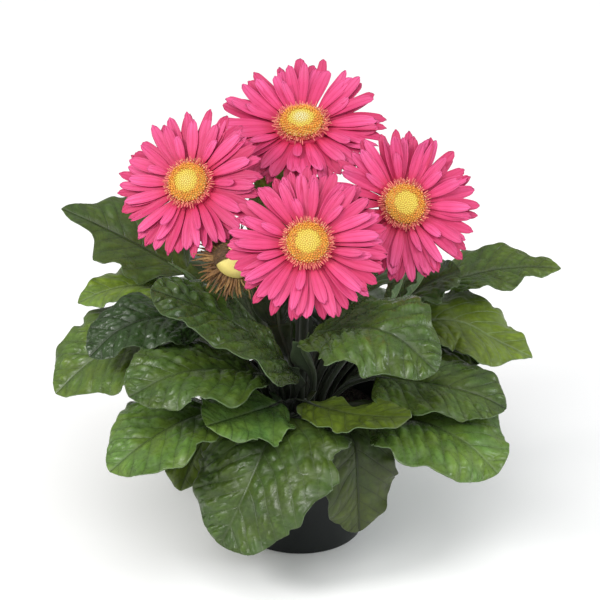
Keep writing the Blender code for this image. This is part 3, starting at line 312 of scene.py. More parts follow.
# One row for each leaf. crown is its socket as (ring, slot). stalk holds the points that its stalk
# passes through above the soil, blade those of the midrib from the foot of the blade to its tip.
# width is the half width, skew makes the right half (seen from the crown) wider, roll turns the blade
# about its midrib (right side down), curl bends the two halves up (+) or down (-), in degrees. left
# and right hold the lobes of the two edges as (place along the midrib, share of the half width).
LEAF_DEFAULTS = dict(stalk=[], width=34.0, skew=0.0, roll=(0.0, 0.0), curl=-25.0, fold=12.0,
                     peak=1.25, full=0.62, lobe=0.10, wave=2.2, phase=0.0, colour="leaf_green",
                     heading=None, left=((0.0, 1.0),), right=((0.0, 1.0),))
LEAVES = [
    dict(name="leaf_front_left", crown=(2, 12), stalk=[(-3, -29, 87)],
         blade=[(-7, -43, 93), (-18, -64, 89), (-31, -83, 66), (-45, -90, 36)],
         left=((0.0, 1.3), (0.2, 1.25), (0.28, 0.86), (0.45, 1.08), (0.6, 0.86), (1.0, 0.85)),
         right=((0.5, 1.0), (0.75, 1.09), (1.0, 1.06)), width=44.0, skew=-0.16, curl=-30.0, fold=15.0,
         peak=0.80, full=0.48, phase=0.4),
    dict(name="leaf_front_over", crown=(2, 11), stalk=[(-9, -24, 92)],
         blade=[(-12, -32, 97), (-32, -56, 102), (-52, -78, 106)],
         left=((0.0, 1.4), (0.5, 1.35), (0.8, 1.35), (1.0, 1.2)),
         right=((0.0, 1.3), (0.2, 1.15), (0.5, 0.95), (0.8, 1.2)),
         width=22.0, curl=-20.0, roll=(-10.0, -20.0), peak=1.0, phase=2.0, colour="leaf_blue"),
    dict(name="leaf_hanging", crown=(2, 13), stalk=[(14, -28, 88)],
         blade=[(22, -43, 92), (31, -57, 84), (33, -63, 58), (34, -62, 29)],
         left=((0.2, 1.0), (0.5, 1.07), (1.0, 1.07)), width=25.0, peak=1.0, phase=1.0, colour="leaf_dark"),
    dict(name="leaf_front_centre", crown=(1, 9), stalk=[(3, -20, 92)],
         blade=[(4, -31, 97), (28, -56, 103), (48, -72, 109), (62, -80, 113)],
         left=((0.1, 0.45), (0.4, 0.45), (0.7, 0.75)), right=((0.3, 1.0), (0.6, 1.1), (0.8, 1.4)),
         width=23.0, curl=-16.0, roll=(5.0, 8.0), peak=0.95, full=0.55, phase=2.8),
    dict(name="leaf_low_right", crown=(2, 14), stalk=[(24, -22, 88)],
         blade=[(42, -35, 93), (74, -56, 96), (95, -71, 90), (111, -81, 77)],
         left=((0.7, 1.02), (1.0, 0.95)), right=((0.2, 1.0), (0.4, 1.08), (0.5, 0.95), (0.7, 1.04)),
         width=39.0, roll=(3.0, 8.0), peak=0.95, full=0.55, phase=0.2,
         colour="leaf_light"),
    dict(name="leaf_dark_right", crown=(2, 15), stalk=[(26, -14, 98)],
         blade=[(44, -23, 109), (80, -39, 112), (102, -47, 109), (117, -52, 103)],
         left=((0.3, 0.85), (0.6, 1.0), (0.9, 0.95)),
         right=((0.0, 2.4), (0.2, 1.7), (0.35, 1.15), (0.5, 1.1), (0.7, 0.98), (0.9, 1.3)),
         width=28.0, roll=(8.0, 12.0), peak=1.05, phase=1.7, colour="leaf_dark"),
    dict(name="leaf_olive_right", crown=(2, 0), stalk=[(30, 0, 96)],
         blade=[(52, 4, 109), (86, 8, 113), (108, 8, 106)],
         left=((0.4, 1.0), (0.8, 1.3)), width=23.0, curl=-20.0, roll=(5.0, 10.0), phase=0.9),
    dict(name="leaf_glossy", crown=(1, 10), stalk=[(8, -17, 108)],
         blade=[(2, -26, 131), (22, -44, 150), (50, -62, 155), (76, -77, 138)],
         left=((0.6, 1.05), (0.7, 1.08), (0.79, 0.74), (0.9, 0.78)),
         right=((0.0, 0.5), (0.25, 0.72), (0.48, 1.1), (0.6, 0.94), (0.7, 1.08), (0.8, 0.98)),
         width=35.0, curl=-28.0, roll=(15.0, 15.0), peak=1.0, full=0.52, phase=2.2),
    dict(name="leaf_yellow_right", crown=(2, 1), stalk=[(42, 14, 112)],
         blade=[(68, 18, 125), (94, 16, 126), (116, 8, 117), (136, 0, 110)],
         left=((0.0, 1.9), (0.25, 1.3), (0.4, 1.0), (0.6, 1.0), (0.8, 0.92)),
         right=((0.3, 1.15), (0.45, 0.95), (0.62, 1.45), (0.8, 1.4), (0.95, 1.25)),
         width=29.0, curl=-20.0, roll=(15.0, 8.0), peak=0.85, full=0.85, phase=1.2,
         colour="leaf_yellow"),
    dict(name="leaf_upper_right", crown=(2, 2), stalk=[(46, 24, 122)],
         blade=[(78, 36, 139), (110, 44, 146), (134, 48, 147), (156, 50, 145)],
         left=((0.0, 1.3), (0.3, 1.4), (0.45, 1.05), (0.6, 0.92), (0.7, 0.92), (0.82, 0.62)),
         right=((0.3, 1.15), (0.45, 0.9), (0.6, 0.92), (0.75, 0.55)),
         width=22.0, curl=-20.0, roll=(10.0, 20.0), full=0.75, phase=0.5),
    dict(name="leaf_back_right_dark", crown=(1, 0), stalk=[(34, 8, 116)],
         blade=[(54, 18, 134), (74, 24, 147), (94, 28, 154)],
         width=19.0, curl=-20.0, roll=(10.0, 15.0), phase=0.1, colour="leaf_dark"),
    dict(name="leaf_bumpy_left", crown=(1, 8), stalk=[(-4, -17, 98)],
         blade=[(-6, -26, 116), (-24, -35, 140), (-50, -41, 159), (-84, -41, 173)],
         left=((0.0, 1.3), (0.2, 1.3), (0.33, 1.15), (0.45, 1.08), (0.56, 0.82), (0.7, 0.92)),
         right=((0.5, 1.0), (0.75, 1.3), (1.0, 1.25)),
         width=32.0, skew=-0.18, roll=(-10.0, -18.0), peak=0.95, full=0.52, phase=1.4,
         colour="leaf_dark"),
    dict(name="leaf_left_forward", crown=(1, 7), stalk=[(-16, -20, 100)],
         blade=[(-20, -32, 114), (-44, -50, 128), (-70, -66, 132), (-95, -79, 124)],
         left=((0.0, 0.9), (0.25, 0.95), (0.42, 1.28), (0.6, 1.1), (0.8, 1.05)),
         right=((0.0, 4.2), (0.12, 2.9), (0.25, 1.9), (0.4, 1.35), (0.6, 1.15), (0.8, 1.12)),
         width=31.0, roll=(-5.0, -12.0), peak=0.95, full=0.52, phase=2.6),
    dict(name="leaf_low_left", crown=(2, 9), stalk=[(-28, -22, 93)],
         blade=[(-42, -39, 99), (-67, -60, 100), (-89, -77, 93), (-106, -88, 82)],
         right=((0.0, 3.2), (0.15, 2.3), (0.35, 1.6), (0.55, 1.1), (0.8, 0.86)), width=33.0,
         phase=0.7, colour="leaf_light"),
    dict(name="leaf_under_left", crown=(2, 10), stalk=[(-27, -23, 89)],
         blade=[(-44, -34, 90), (-59, -47, 74), (-68, -64, 57)],
         width=16.0, curl=-20.0),
    dict(name="leaf_blue_left", crown=(2, 8), stalk=[(-36, -8, 114)],
         blade=[(-56, -16, 138), (-80, -24, 148), (-102, -34, 144), (-119, -43, 131)],
         left=((0.0, 1.8), (0.3, 1.35), (0.6, 1.0)), width=21.0, roll=(-15.0, -20.0), peak=0.95,
         phase=1.9, colour="leaf_blue"),
    dict(name="leaf_far_left", crown=(2, 7), stalk=[(-40, 2, 106)],
         blade=[(-66, -2, 122), (-97, -8, 126), (-121, -16, 115), (-141, -24, 98)],
         left=((0.2, 1.2), (0.6, 1.08), (0.85, 0.75)), right=((0.3, 1.12), (0.6, 1.02), (0.78, 0.88)),
         width=34.0, curl=-22.0, roll=(-12.0, -20.0), peak=1.2, phase=0.3, colour="leaf_light"),
    dict(name="leaf_yellow_left", crown=(1, 6), stalk=[(-42, 12, 128)],
         blade=[(-68, 22, 139), (-92, 24, 146), (-112, 21, 144), (-130, 15, 138)],
         right=((0.5, 1.0), (0.8, 0.75)), width=21.0, curl=-20.0, roll=(-12.0, -12.0), peak=1.0,
         phase=2.4, colour="leaf_yellow"),
    dict(name="leaf_upper_left", crown=(2, 6), stalk=[(-40, 22, 124)],
         blade=[(-66, 30, 150), (-92, 38, 164), (-118, 45, 175), (-141, 50, 184)],
         left=((0.0, 1.9), (0.2, 1.6), (0.3, 1.0), (0.5, 0.95), (0.58, 0.8), (0.68, 0.4)),
         right=((0.0, 3.4), (0.15, 2.5), (0.35, 1.3), (0.6, 1.08), (0.7, 0.9), (0.8, 0.68), (0.9, 0.75)),
         width=32.0, curl=-20.0, roll=(-22.0, -12.0), full=0.85, lobe=0.16, phase=1.1,
         colour="leaf_dark"),
    dict(name="leaf_bright_upright", crown=(0, 3), stalk=[(-6, 17, 100)], heading=(0.0, 1.0),
         blade=[(-12, 29, 116), (-15, 42, 150), (-16, 50, 186), (-15, 54, 219)],
         left=((0.1, 1.6), (0.3, 1.1), (0.5, 0.85), (0.7, 1.0)), right=((0.1, 1.3), (0.4, 0.9), (0.7, 1.0)),
         width=17.0, curl=15.0, phase=0.4, lobe=0.15, peak=1.0, colour="leaf_yellow"),
    dict(name="leaf_rear_upright", crown=(0, 2), stalk=[(7, 17, 98)], heading=(0.0, 1.0),
         blade=[(14, 30, 114), (16, 42, 146), (16, 52, 176), (13, 58, 204)],
         left=((0.1, 1.3), (0.4, 0.9)), right=((0.1, 1.6), (0.4, 1.0)),
         width=17.0, curl=15.0, phase=1.4, lobe=0.12, peak=1.0, colour="leaf_dark"),
    dict(name="leaf_young_front", crown=(1, 11), stalk=[(34, -6, 124)],
         blade=[(46, -6, 142), (55, -6, 155), (59, -4, 166)],
         width=8.0, curl=35.0, wave=2.0, phase=0.8, lobe=0.2, colour="scape_green"),
    dict(name="leaf_young_back", crown=(1, 1), stalk=[(38, 10, 126)],
         blade=[(58, 8, 144), (68, 6, 156), (74, 6, 170)],
         width=8.0, curl=35.0, wave=2.0, phase=2.8, lobe=0.2, colour="scape_green"),
    dict(name="leaf_back_right", crown=(2, 3), stalk=[(22, 36, 96)],
         blade=[(38, 58, 104), (62, 88, 106), (78, 108, 94), (88, 122, 74)],
         width=32.0, phase=0.6),
    dict(name="leaf_back", crown=(3, 5), stalk=[(2, 40, 89)],
         blade=[(2, 54, 93), (0, 84, 98), (-2, 110, 89), (-4, 127, 68)],
         left=((0.0, 4.0), (0.1, 2.4), (0.3, 1.2), (0.5, 1.0)),
         right=((0.0, 4.0), (0.1, 2.4), (0.3, 1.2), (0.5, 1.0)),
         width=34.0, phase=1.6, colour="leaf_light"),
    dict(name="leaf_back_left", crown=(2, 5), stalk=[(-28, 28, 98)],
         blade=[(-48, 50, 110), (-72, 78, 116), (-90, 98, 108), (-104, 112, 90)],
         width=32.0, phase=2.6),
    dict(name="leaf_back_mid_left", crown=(3, 6), stalk=[(-16, 40, 90)],
         blade=[(-26, 57, 91), (-42, 82, 86), (-54, 102, 68), (-60, 112, 44)],
         right=((0.0, 2.2), (0.4, 1.7), (0.8, 1.6)), width=29.0, phase=1.3, colour="leaf_dark"),
    dict(name="leaf_back_mid_right", crown=(3, 4), stalk=[(15, 40, 90)],
         blade=[(26, 57, 91), (42, 80, 85), (52, 99, 68), (57, 110, 44)],
         left=((0.0, 2.2), (0.4, 1.7), (0.8, 1.6)), width=28.0, phase=2.2, colour="leaf_light"),
    dict(name="leaf_back_centre", crown=(2, 4), stalk=[(3, 32, 106)],
         blade=[(5, 50, 119), (9, 72, 126), (9, 94, 122), (6, 110, 107)],
         width=26.0, phase=0.3),
    dict(name="leaf_back_high", crown=(1, 4), stalk=[(-19, 22, 104)],
         blade=[(-32, 42, 128), (-42, 68, 140), (-52, 92, 138), (-60, 108, 127)],
         left=((0.0, 1.8), (0.4, 1.25)), right=((0.0, 1.6), (0.4, 1.1)),
         width=28.0, phase=0.9, colour="leaf_dark"),
    dict(name="leaf_back_high_right", crown=(1, 2), stalk=[(20, 24, 112)],
         blade=[(34, 40, 132), (54, 62, 142), (74, 82, 138), (88, 96, 126)],
         width=27.0, phase=1.9),
]

# One row for each open flower. head is the middle of the receptacle's underside, facing the way it
# looks, size its scale, cone how far the petals rise, lift how far the far side rises over the near
# side, both in degrees.
# lit holds the heights between which the painted shade on a scape near the crown gives way to full light;
# SPENT has the same.
FLOWERS = [
    dict(name="left", crown=(1, 5), bend=[(-30, 10, 130), (-52, 12, 185)], head=(-61, 2, 217),
         facing=(-0.30, -0.76, 0.62), size=0.98, cone=7.0, lift=0.0, seed=3, tuck=0.0,
         wild=1.0, fresh=0.2, lit=(120.0, 170.0)),
    dict(name="top", crown=(1, 3), bend=[(0, 24, 130), (2, 38, 190)], head=(1, 46, 234),
         facing=(-0.04, -0.38, 0.92), size=1.10, cone=5.0, lift=14.0, seed=5, tuck=0.28,
         wild=1.3, fresh=1.0, lit=(150.0, 205.0)),
    dict(name="right", crown=(0, 1), bend=[(26, 2, 130), (48, 6, 175)], head=(58, 5, 203),
         facing=(0.20, -0.80, 0.58), size=1.0, cone=6.0, lift=6.0, seed=21, tuck=0.0,
         wild=1.3, fresh=0.0, lit=(105.0, 145.0)),
    dict(name="front", crown=(0, 0), bend=[(2, -12, 130), (3, -30, 178)], head=(4, -44, 200),
         facing=(0.02, -0.78, 0.62), size=1.0, cone=6.0, lift=0.0, seed=13, tuck=0.0,
         wild=0.9, fresh=0.1, lit=(160.0, 200.0)),
]
SPENT = dict(name="spent", crown=(0, 4), bend=[(-20, 2, 120), (-40, -5, 152)], head=(-36, -26, 183),
             facing=(0.12, -0.66, 0.74), size=0.78, lit=(110.0, 160.0))


def polar(radius, angle, height=0.0):
    """A point by its distance from an upright axis, the angle round it and its height."""
    return Vector((radius * math.cos(angle), radius * math.sin(angle), height))


def socket(crown):
    """Where a stem leaves the soil, as a point at the soil's top."""
    ring, slot = crown
    turn = math.radians(CROWN_RING_START[ring] + 360.0 * slot / CROWN_RING_SLOTS[ring])
    return polar(CROWN_RING_RADIUS[ring], turn, SOIL_TOP + SOIL_MOUND)


class Path:
    """A smooth curve through points that leaves the first one straight up."""

    def __init__(self, points):
        self.points = [Vector(p) for p in points]
        last = len(self.points) - 1
        self.slopes = []
        for i in range(last + 1):
            if i == 0:
                slope = Vector((0, 0, (self.points[1] - self.points[0]).length))
            elif i == last:
                slope = self.points[last] - self.points[last - 1]
            else:
                before = self.points[i] - self.points[i - 1]
                after = self.points[i + 1] - self.points[i]
                slope = (before.normalized() + after.normalized()).normalized()
                slope *= min(before.length, after.length)
            self.slopes.append(slope)

    def at(self, s):
        """Point at s, which counts the given points: 0 is the first one, 1 the second."""
        i = min(int(s), len(self.points) - 2)
        f = s - i
        a, b = self.points[i], self.points[i + 1]
        va, vb = self.slopes[i], self.slopes[i + 1]
        return (a * (2 * f**3 - 3 * f**2 + 1) + va * (f**3 - 2 * f**2 + f)
                + b * (-2 * f**3 + 3 * f**2) + vb * (f**3 - f**2))

    def tangent(self, s):
        step = 0.01
        end = len(self.points) - 1
        return (self.at(min(s + step, end)) - self.at(max(s - step, 0))).normalized()

    def even(self, start, end, count):
        """Values of s that cut the stretch from start to end into count equal lengths."""
        fine = 60
        marks = [start + (end - start) * i / fine for i in range(fine + 1)]
        lengths = [0.0]
        for a, b in zip(marks, marks[1:]):
            lengths.append(lengths[-1] + (self.at(b) - self.at(a)).length)
        values, j = [], 0
        for i in range(count + 1):
            goal = lengths[-1] * i / count
            while j < fine - 1 and lengths[j + 1] < goal:
                j += 1
            part = (goal - lengths[j]) / max(lengths[j + 1] - lengths[j], 1e-9)
            values.append(marks[j] + (marks[j + 1] - marks[j]) * min(part, 1.0))
        return values

    def measure(self, start, end):
        """A function that turns 0 to 1 into s from start to end, by equal lengths of the curve."""
        steps = 40
        marks = self.even(start, end, steps)

        def place(t):
            here = min(max(t, 0.0), 1.0) * steps
            i = min(int(here), steps - 1)
            return marks[i] + (marks[i + 1] - marks[i]) * (here - i)
        return place


def trim(stations, t):
    """A share that runs smoothly through stations of (place, share)."""
    before, share = stations[0]
    for place, goal in stations:
        if t < place:
            part = max(t - before, 0.0) / max(place - before, 1e-9)
            return share + (goal - share) * part * part * (3.0 - 2.0 * part)
        before, share = place, goal
    return share


def half_width(leaf, t, side):
    """Half width of a blade at t, from 0 at its foot to 1 at its tip, on side -1 or +1."""
    spread = math.sin(math.pi * min(max(t, 0.0), 1.0) ** leaf["peak"]) ** leaf["full"]
    lobing = math.cos(math.tau * LOBES * t + leaf["phase"] + LOBE_SHIFT * side)
    lobing *= leaf["lobe"] * (1.2 - 0.8 * t)
    lobing += trim(leaf["left" if side < 0 else "right"], t) - 1.0
    return leaf["width"] * (1 + side * leaf["skew"]) * spread * (1 + lobing)


# Shaders

def new_material(name):
    """A new material and its node tree."""
    made = bpy.data.materials.new(name)
    made.use_nodes = True
    return made, made.node_tree


def give(tree, node, key, value):
    """Sets an input of a node. value is a number or colour, a socket, or the name of a mesh's field."""
    if isinstance(value, str):
        value = add_node(tree, "ShaderNodeAttribute", attribute_name=value).outputs["Fac"]
    if isinstance(value, bpy.types.NodeSocket):
        tree.links.new(value, node.inputs[key])
    else:
        node.inputs[key].default_value = value


def add_node(tree, kind, inputs=None, **settings):
    """A shader node with its settings and its inputs."""
    made = tree.nodes.new(kind)
    for key, value in settings.items():
        setattr(made, key, value)
    for key, value in (inputs or {}).items():
        give(tree, made, key, value)
    return made


def math_node(tree, operation, *values):
    return add_node(tree, "ShaderNodeMath", dict(enumerate(values)), operation=operation).outputs[0]


def smooth_range(tree, value, low, high, to_low=0.0, to_high=1.0):
    """A smooth step from to_low to to_high while value goes from low to high."""
    inputs = {"Value": value, "From Min": low, "From Max": high, "To Min": to_low, "To Max": to_high}
    return add_node(tree, "ShaderNodeMapRange", inputs, interpolation_type="SMOOTHSTEP").outputs["Result"]


def mix_colour(tree, share, first, second):
    """Colours are sockets or (r, g, b) values."""
    made = add_node(tree, "ShaderNodeMix", {0: share}, data_type="RGBA")
    for key, value in ((6, first), (7, second)):
        give(tree, made, key, (*value, 1.0) if isinstance(value, tuple) else value)
    return made.outputs[2]


def blend(tree, value, span, first, second):
    """One colour that turns into another while value runs through span, as smooth_range takes it."""
    return mix_colour(tree, smooth_range(tree, value, *span), first, second)


def noise_texture(tree, scale, detail=3.0, vector=None):
    """Noise in the object's own space, or over the given vector."""
    if vector is None:
        vector = add_node(tree, "ShaderNodeTexCoord").outputs["Object"]
    inputs = {"Scale": scale, "Detail": detail, "Vector": vector}
    return add_node(tree, "ShaderNodeTexNoise", inputs).outputs["Fac"]


def scaled(tree, colour, share):
    """A colour made lighter or darker by a share."""
    inputs = {0: colour, "Scale": share}
    return add_node(tree, "ShaderNodeVectorMath", inputs, operation="SCALE").outputs[0]


def finish(made, colour, rough, relief=None, sheen=0.0, specular=0.5):
    """The material with its shader set. relief is a fine bump as (height, strength, distance)."""
    tree = made.node_tree
    shader = tree.nodes["Principled BSDF"]
    for key, value in (("Base Color", colour), ("Roughness", rough), ("Sheen Weight", sheen),
                       ("Specular IOR Level", specular)):
        give(tree, shader, key, value)
    if relief:
        inputs = dict(zip(("Height", "Strength", "Distance"), relief))
        give(tree, shader, "Normal", add_node(tree, "ShaderNodeBump", inputs).outputs["Normal"])
    return made


def vein_lines(tree, rib, branch):
    """1 on the midrib and less on the side veins, each fading out over its span."""
    across = math_node(tree, "ABSOLUTE", "across")
    side = math_node(tree, "PINGPONG", "side_vein", 0.5)
    return math_node(tree, "MAXIMUM", smooth_range(tree, across, *rib, 1.0, 0.0),
                     smooth_range(tree, side, *branch, 0.8, 0.0))


def leaf_material(name, cool, warm, vein, rough):
    """The upper side of a leaf: mottled green, veins pale or painted dark as shade, painted shade in pucker
    hollows.
    """
    made, tree = new_material(name)
    net = smooth_range(tree, "net", 0.02, 0.30, 0.30, 0.0)
    veins = math_node(tree, "MAXIMUM", vein_lines(tree, (0.3, 1.2), (0.012, 0.055)), net)
    # Painted shade: veins that are not pale, and the creases of the net, are darkened as shade would fall in
    # them.
    pale = math_node(tree, "MULTIPLY", veins, "pale")
    painted_crease_shade = math_node(tree, "SUBTRACT", veins, pale)
    broad = noise_texture(tree, 38.0)
    fine = noise_texture(tree, 420.0, 4.0)
    blotch = smooth_range(tree, noise_texture(tree, 70.0, 2.0), 0.35, 0.65, -0.15, 0.18)
    colour = mix_colour(tree, math_node(tree, "ADD", "warm", blotch), cool, warm)
    rim = smooth_range(tree, "margin", 0.15, 0.80, 0.28, 0.0)
    colour = mix_colour(tree, math_node(tree, "MAXIMUM", pale, rim), colour, vein)
    light = smooth_range(tree, broad, 0.32, 0.68, 0.84, 1.14)
    light = math_node(tree, "ADD", light, smooth_range(tree, fine, 0.40, 0.75, -0.06, 0.16))
    # Painted light and shade: lighter on the tops of the puckers and darker in their hollows.
    light = math_node(tree, "ADD", light, smooth_range(tree, "quilt", 0.1, 0.95, -0.14, 0.18))
    light = math_node(tree, "SUBTRACT", light, math_node(tree, "MULTIPLY", painted_crease_shade, 0.42))
    # The tone field also carries the painted shade near the crown.
    light = math_node(tree, "MULTIPLY", light, "tone")
    dull = smooth_range(tree, fine, 0.3, 0.7, rough - 0.05, rough + 0.10)
    gloss = math_node(tree, "MULTIPLY", "gloss", 0.12)
    grain = math_node(tree, "SUBTRACT", math_node(tree, "MULTIPLY", fine, 0.5),
                      math_node(tree, "MULTIPLY", veins, 0.6))
    return finish(made, scaled(tree, colour, light), math_node(tree, "SUBTRACT", dull, gloss),
                  (grain, 0.45, 0.0006), specular=0.36)


def underside_material():
    """The underside of the leaves: paler, greyer and downy, darkened by painted shade near the crown through
    its lit field.
    """
    made, tree = new_material("leaf_underside")
    veins = vein_lines(tree, (0.5, 1.6), (0.02, 0.08))
    colour = mix_colour(tree, noise_texture(tree, 45.0), (0.060, 0.115, 0.035), (0.095, 0.160, 0.055))
    colour = mix_colour(tree, veins, colour, (0.140, 0.200, 0.080))
    grain = math_node(tree, "ADD", noise_texture(tree, 900.0), math_node(tree, "MULTIPLY", veins, 0.6))
    return finish(made, scaled(tree, colour, "lit"), 0.72, (grain, 0.4, 0.0005), sheen=0.12)


def stem_material(name, light, dark, blush):
    """A downy green stalk or scape, streaked lengthwise, and darkened by painted shade near the crown
    through its lit field.
    """
    made, tree = new_material(name)
    place = add_node(tree, "ShaderNodeTexCoord").outputs["Object"]
    stretch = add_node(tree, "ShaderNodeMapping", {"Vector": place, "Scale": (1.0, 1.0, 0.12)}).outputs[0]
    streak = noise_texture(tree, 900.0, 2.0, stretch)
    colour = blend(tree, streak, (0.35, 0.65), dark, light)
    colour = blend(tree, noise_texture(tree, 30.0, 2.0), (0.5, 0.75, 0.0, 0.45), colour, blush)
    return finish(made, scaled(tree, colour, "lit"), 0.58, (streak, 0.35, 0.0004), sheen=0.15)


def petal_material(name, base, middle, tip, streak_and_painted_shade):
    """A ray petal: deep coral at its foot, hot pink in the middle and paler towards the tip, with painted
    shade in its grooves and on its lower rows.
    """
    made, tree = new_material(name)
    colour = blend(tree, "along", (0.0, 0.38), base, middle)
    colour = blend(tree, "along", (0.40, 1.0, 0.0, 0.85), colour, tip)
    place = {axis: math_node(tree, "MULTIPLY", field, stretch)
             for axis, field, stretch in (("X", "across", 1.5), ("Y", "along", 2.0), ("Z", "shade", 40.0))}
    streak = noise_texture(tree, 1.7, 3.0, add_node(tree, "ShaderNodeCombineXYZ", place).outputs[0])
    # The dark colour gives streaks and a tone that differs from petal to petal, and is painted shade in the
    # grooves and on the rows and hub that lie under others.
    for value, low, high, most in ((streak, 0.46, 0.80, 0.55), ("groove", 0.45, 1.0, 0.42),
                                   ("shade", 0.2, 1.0, 0.34), ("deep", 0.0, 1.0, 0.62)):
        colour = blend(tree, value, (low, high, 0.0, most), colour, streak_and_painted_shade)
    return finish(made, colour, 0.50, (streak, 0.4, 0.0005), sheen=0.08, specular=0.30)


def floret_material(name, foot, top):
    """Small florets that change colour from foot to tip, each a little different."""
    made, tree = new_material(name)
    dim = tuple(0.55 * c for c in foot)
    colour = blend(tree, "along", (0.0, 1.0), foot, top)
    colour = blend(tree, "shade", (0.35, 1.0, 0.0, 0.55), colour, dim)
    return finish(made, colour, 0.6, (noise_texture(tree, 1400.0, 2.0), 0.3, 0.0003))


def disc_material(name, centre, ring, rim, cream):
    """The disc: lemon yellow or cream in the middle, amber round it, rusty at its rim, and painted shade at
    the florets' feet.
    """
    made, tree = new_material(name)
    fresh = math_node(tree, "MULTIPLY", smooth_range(tree, "out", 0.15, 0.50, 1.0, 0.0), "fresh")
    colour = mix_colour(tree, fresh, centre, cream)
    colour = blend(tree, "out", (0.54, 0.70), colour, ring)
    colour = blend(tree, "out", (0.86, 1.04), colour, rim)
    # Painted shade: each floret darkens towards its foot, down among the others.
    inner = tuple(0.80 * c for c in centre)
    outer = tuple(0.55 * c for c in ring)
    foot = blend(tree, "out", (0.50, 0.66), inner, outer)
    colour = blend(tree, "along", (0.0, 0.8, 0.70, 0.0), colour, foot)
    colour = blend(tree, "shade", (0.45, 0.9, 0.0, 0.60), colour, rim)
    return finish(made, colour, 0.6, (noise_texture(tree, 1500.0, 2.0), 0.3, 0.0003))


def dome_material(name, pale, deep, olive):
    """The spent head's dome: pale yellow, finely pitted, and painted olive shade towards its rim."""
    made, tree = new_material(name)
    pits = noise_texture(tree, 1500.0, 2.0)
    colour = blend(tree, noise_texture(tree, 90.0), (0.40, 0.70, 0.0, 0.6), pale, deep)
    colour = blend(tree, pits, (0.50, 0.72, 0.0, 0.35), colour, deep)
    # Painted shade: olive towards the rim, where the dome curves away.
    colour = blend(tree, "out", (0.75, 1.0, 0.0, 0.7), colour, olive)
    return finish(made, colour, 0.55, (pits, 0.5, 0.0004))


def withered_material():
    """Dry brown florets, bronze to straw."""
    made, tree = new_material("withered_brown")
    colour = blend(tree, "shade", (0.0, 0.55), (0.100, 0.050, 0.018), (0.270, 0.135, 0.042))
    colour = blend(tree, "shade", (0.62, 1.0), colour, (0.420, 0.260, 0.090))
    colour = scaled(tree, colour, smooth_range(tree, "along", 0.0, 0.5, 0.62, 1.0))
    streak = noise_texture(tree, 700.0)
    colour = blend(tree, streak, (0.4, 0.7, 0.0, 0.6), colour, (0.085, 0.040, 0.018))
    return finish(made, colour, 0.75, (streak, 0.5, 0.0005))


def pot_material():
    """Satin charcoal plastic, with faint scuffs."""
    made, tree = new_material("pot_plastic")
    broad = noise_texture(tree, 22.0, 4.0)
    colour = blend(tree, broad, (0.35, 0.7), (0.0060, 0.0078, 0.0076), (0.0100, 0.0125, 0.0122))
    return finish(made, colour, smooth_range(tree, broad, 0.3, 0.7, 0.36, 0.50),
                  (noise_texture(tree, 900.0), 0.25, 0.0002), specular=0.25)


def soil_material():
    """Dark moist peat, crumbly and flecked."""
    made, tree = new_material("soil_peat")
    coarse = noise_texture(tree, 260.0, 5.0)
    fine = noise_texture(tree, 1300.0, 4.0)
    colour = blend(tree, coarse, (0.35, 0.65), (0.007, 0.005, 0.004), (0.026, 0.017, 0.012))
    colour = blend(tree, fine, (0.62, 0.72, 0.0, 0.5), colour, (0.066, 0.044, 0.027))
    return finish(made, colour, 0.92, (math_node(tree, "ADD", coarse, fine), 0.8, 0.0012))


# Meshes

class Shape:
    """Points and faces gathered into one mesh, with float fields on the points."""

    def __init__(self, *fields):
        self.points, self.faces, self.slots = [], [], []
        self.fields = {name: [] for name in fields}
        self.count = 0

    def add(self, points, faces, slot=0, **values):
        points = np.asarray(points, float).reshape(-1, 3)
        self.points.append(points)
        self.faces += [tuple(i + self.count for i in face) for face in faces]
        self.slots += [slot] * len(faces)
        for name in self.fields:
            value = np.asarray(values.get(name, 0.0), float)
            self.fields[name].append(np.broadcast_to(value.ravel(), (len(points),)))
        self.count += len(points)

    def make(self, name, materials, replaces=None):
        """The finished object, on the part's body, in place of the named node."""
        mesh = bpy.data.meshes.new(name)
        points = np.clip(np.concatenate(self.points) * MM, *CAD_BOX)
        mesh.from_pydata(points.tolist(), [], self.faces)
        mesh.polygons.foreach_set("material_index", self.slots)
        for key, values in self.fields.items():
            field = mesh.attributes.new(key, "FLOAT", "POINT")
            field.data.foreach_set("value", np.concatenate(values).astype(np.float32))
        for one in materials:
            mesh.materials.append(one)
        mesh.shade_smooth()
        made = bpy.data.objects.new(name, mesh)
        bpy.context.scene.collection.objects.link(made)
        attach(made, "root")
        if replaces:
            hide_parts(replaces)
        return made


def sheet_faces(rows, columns):
    """Faces of a closed thin sheet: rows x columns points on its upper side, then as many below."""
    upper, lower, border = [], [], []
    under = rows * columns
    for i in range(rows - 1):
        for k in range(columns - 1):
            a, b = i * columns + k, (i + 1) * columns + k
            upper.append((a, a + 1, b + 1, b))
            lower.append((under + a, under + b, under + b + 1, under + a + 1))
    for i in range(rows - 1):
        a, b = i * columns, (i + 1) * columns
        border.append((a, b, under + b, under + a))
        c, d = a + columns - 1, b + columns - 1
        border.append((c, under + c, under + d, d))
    for k in range(columns - 1):
        border.append((k, under + k, under + k + 1, k + 1))
        e = (rows - 1) * columns + k
        border.append((e, e + 1, under + e + 1, under + e))
    return upper, lower + border


def surface_normals(grid):
    """Unit normals of a grid of points, pointing to its upper side."""
    along = np.gradient(grid, axis=0)
    over = np.gradient(grid, axis=1)
    normal = np.cross(over, along)
    return normal / np.maximum(np.linalg.norm(normal, axis=2, keepdims=True), 1e-9)


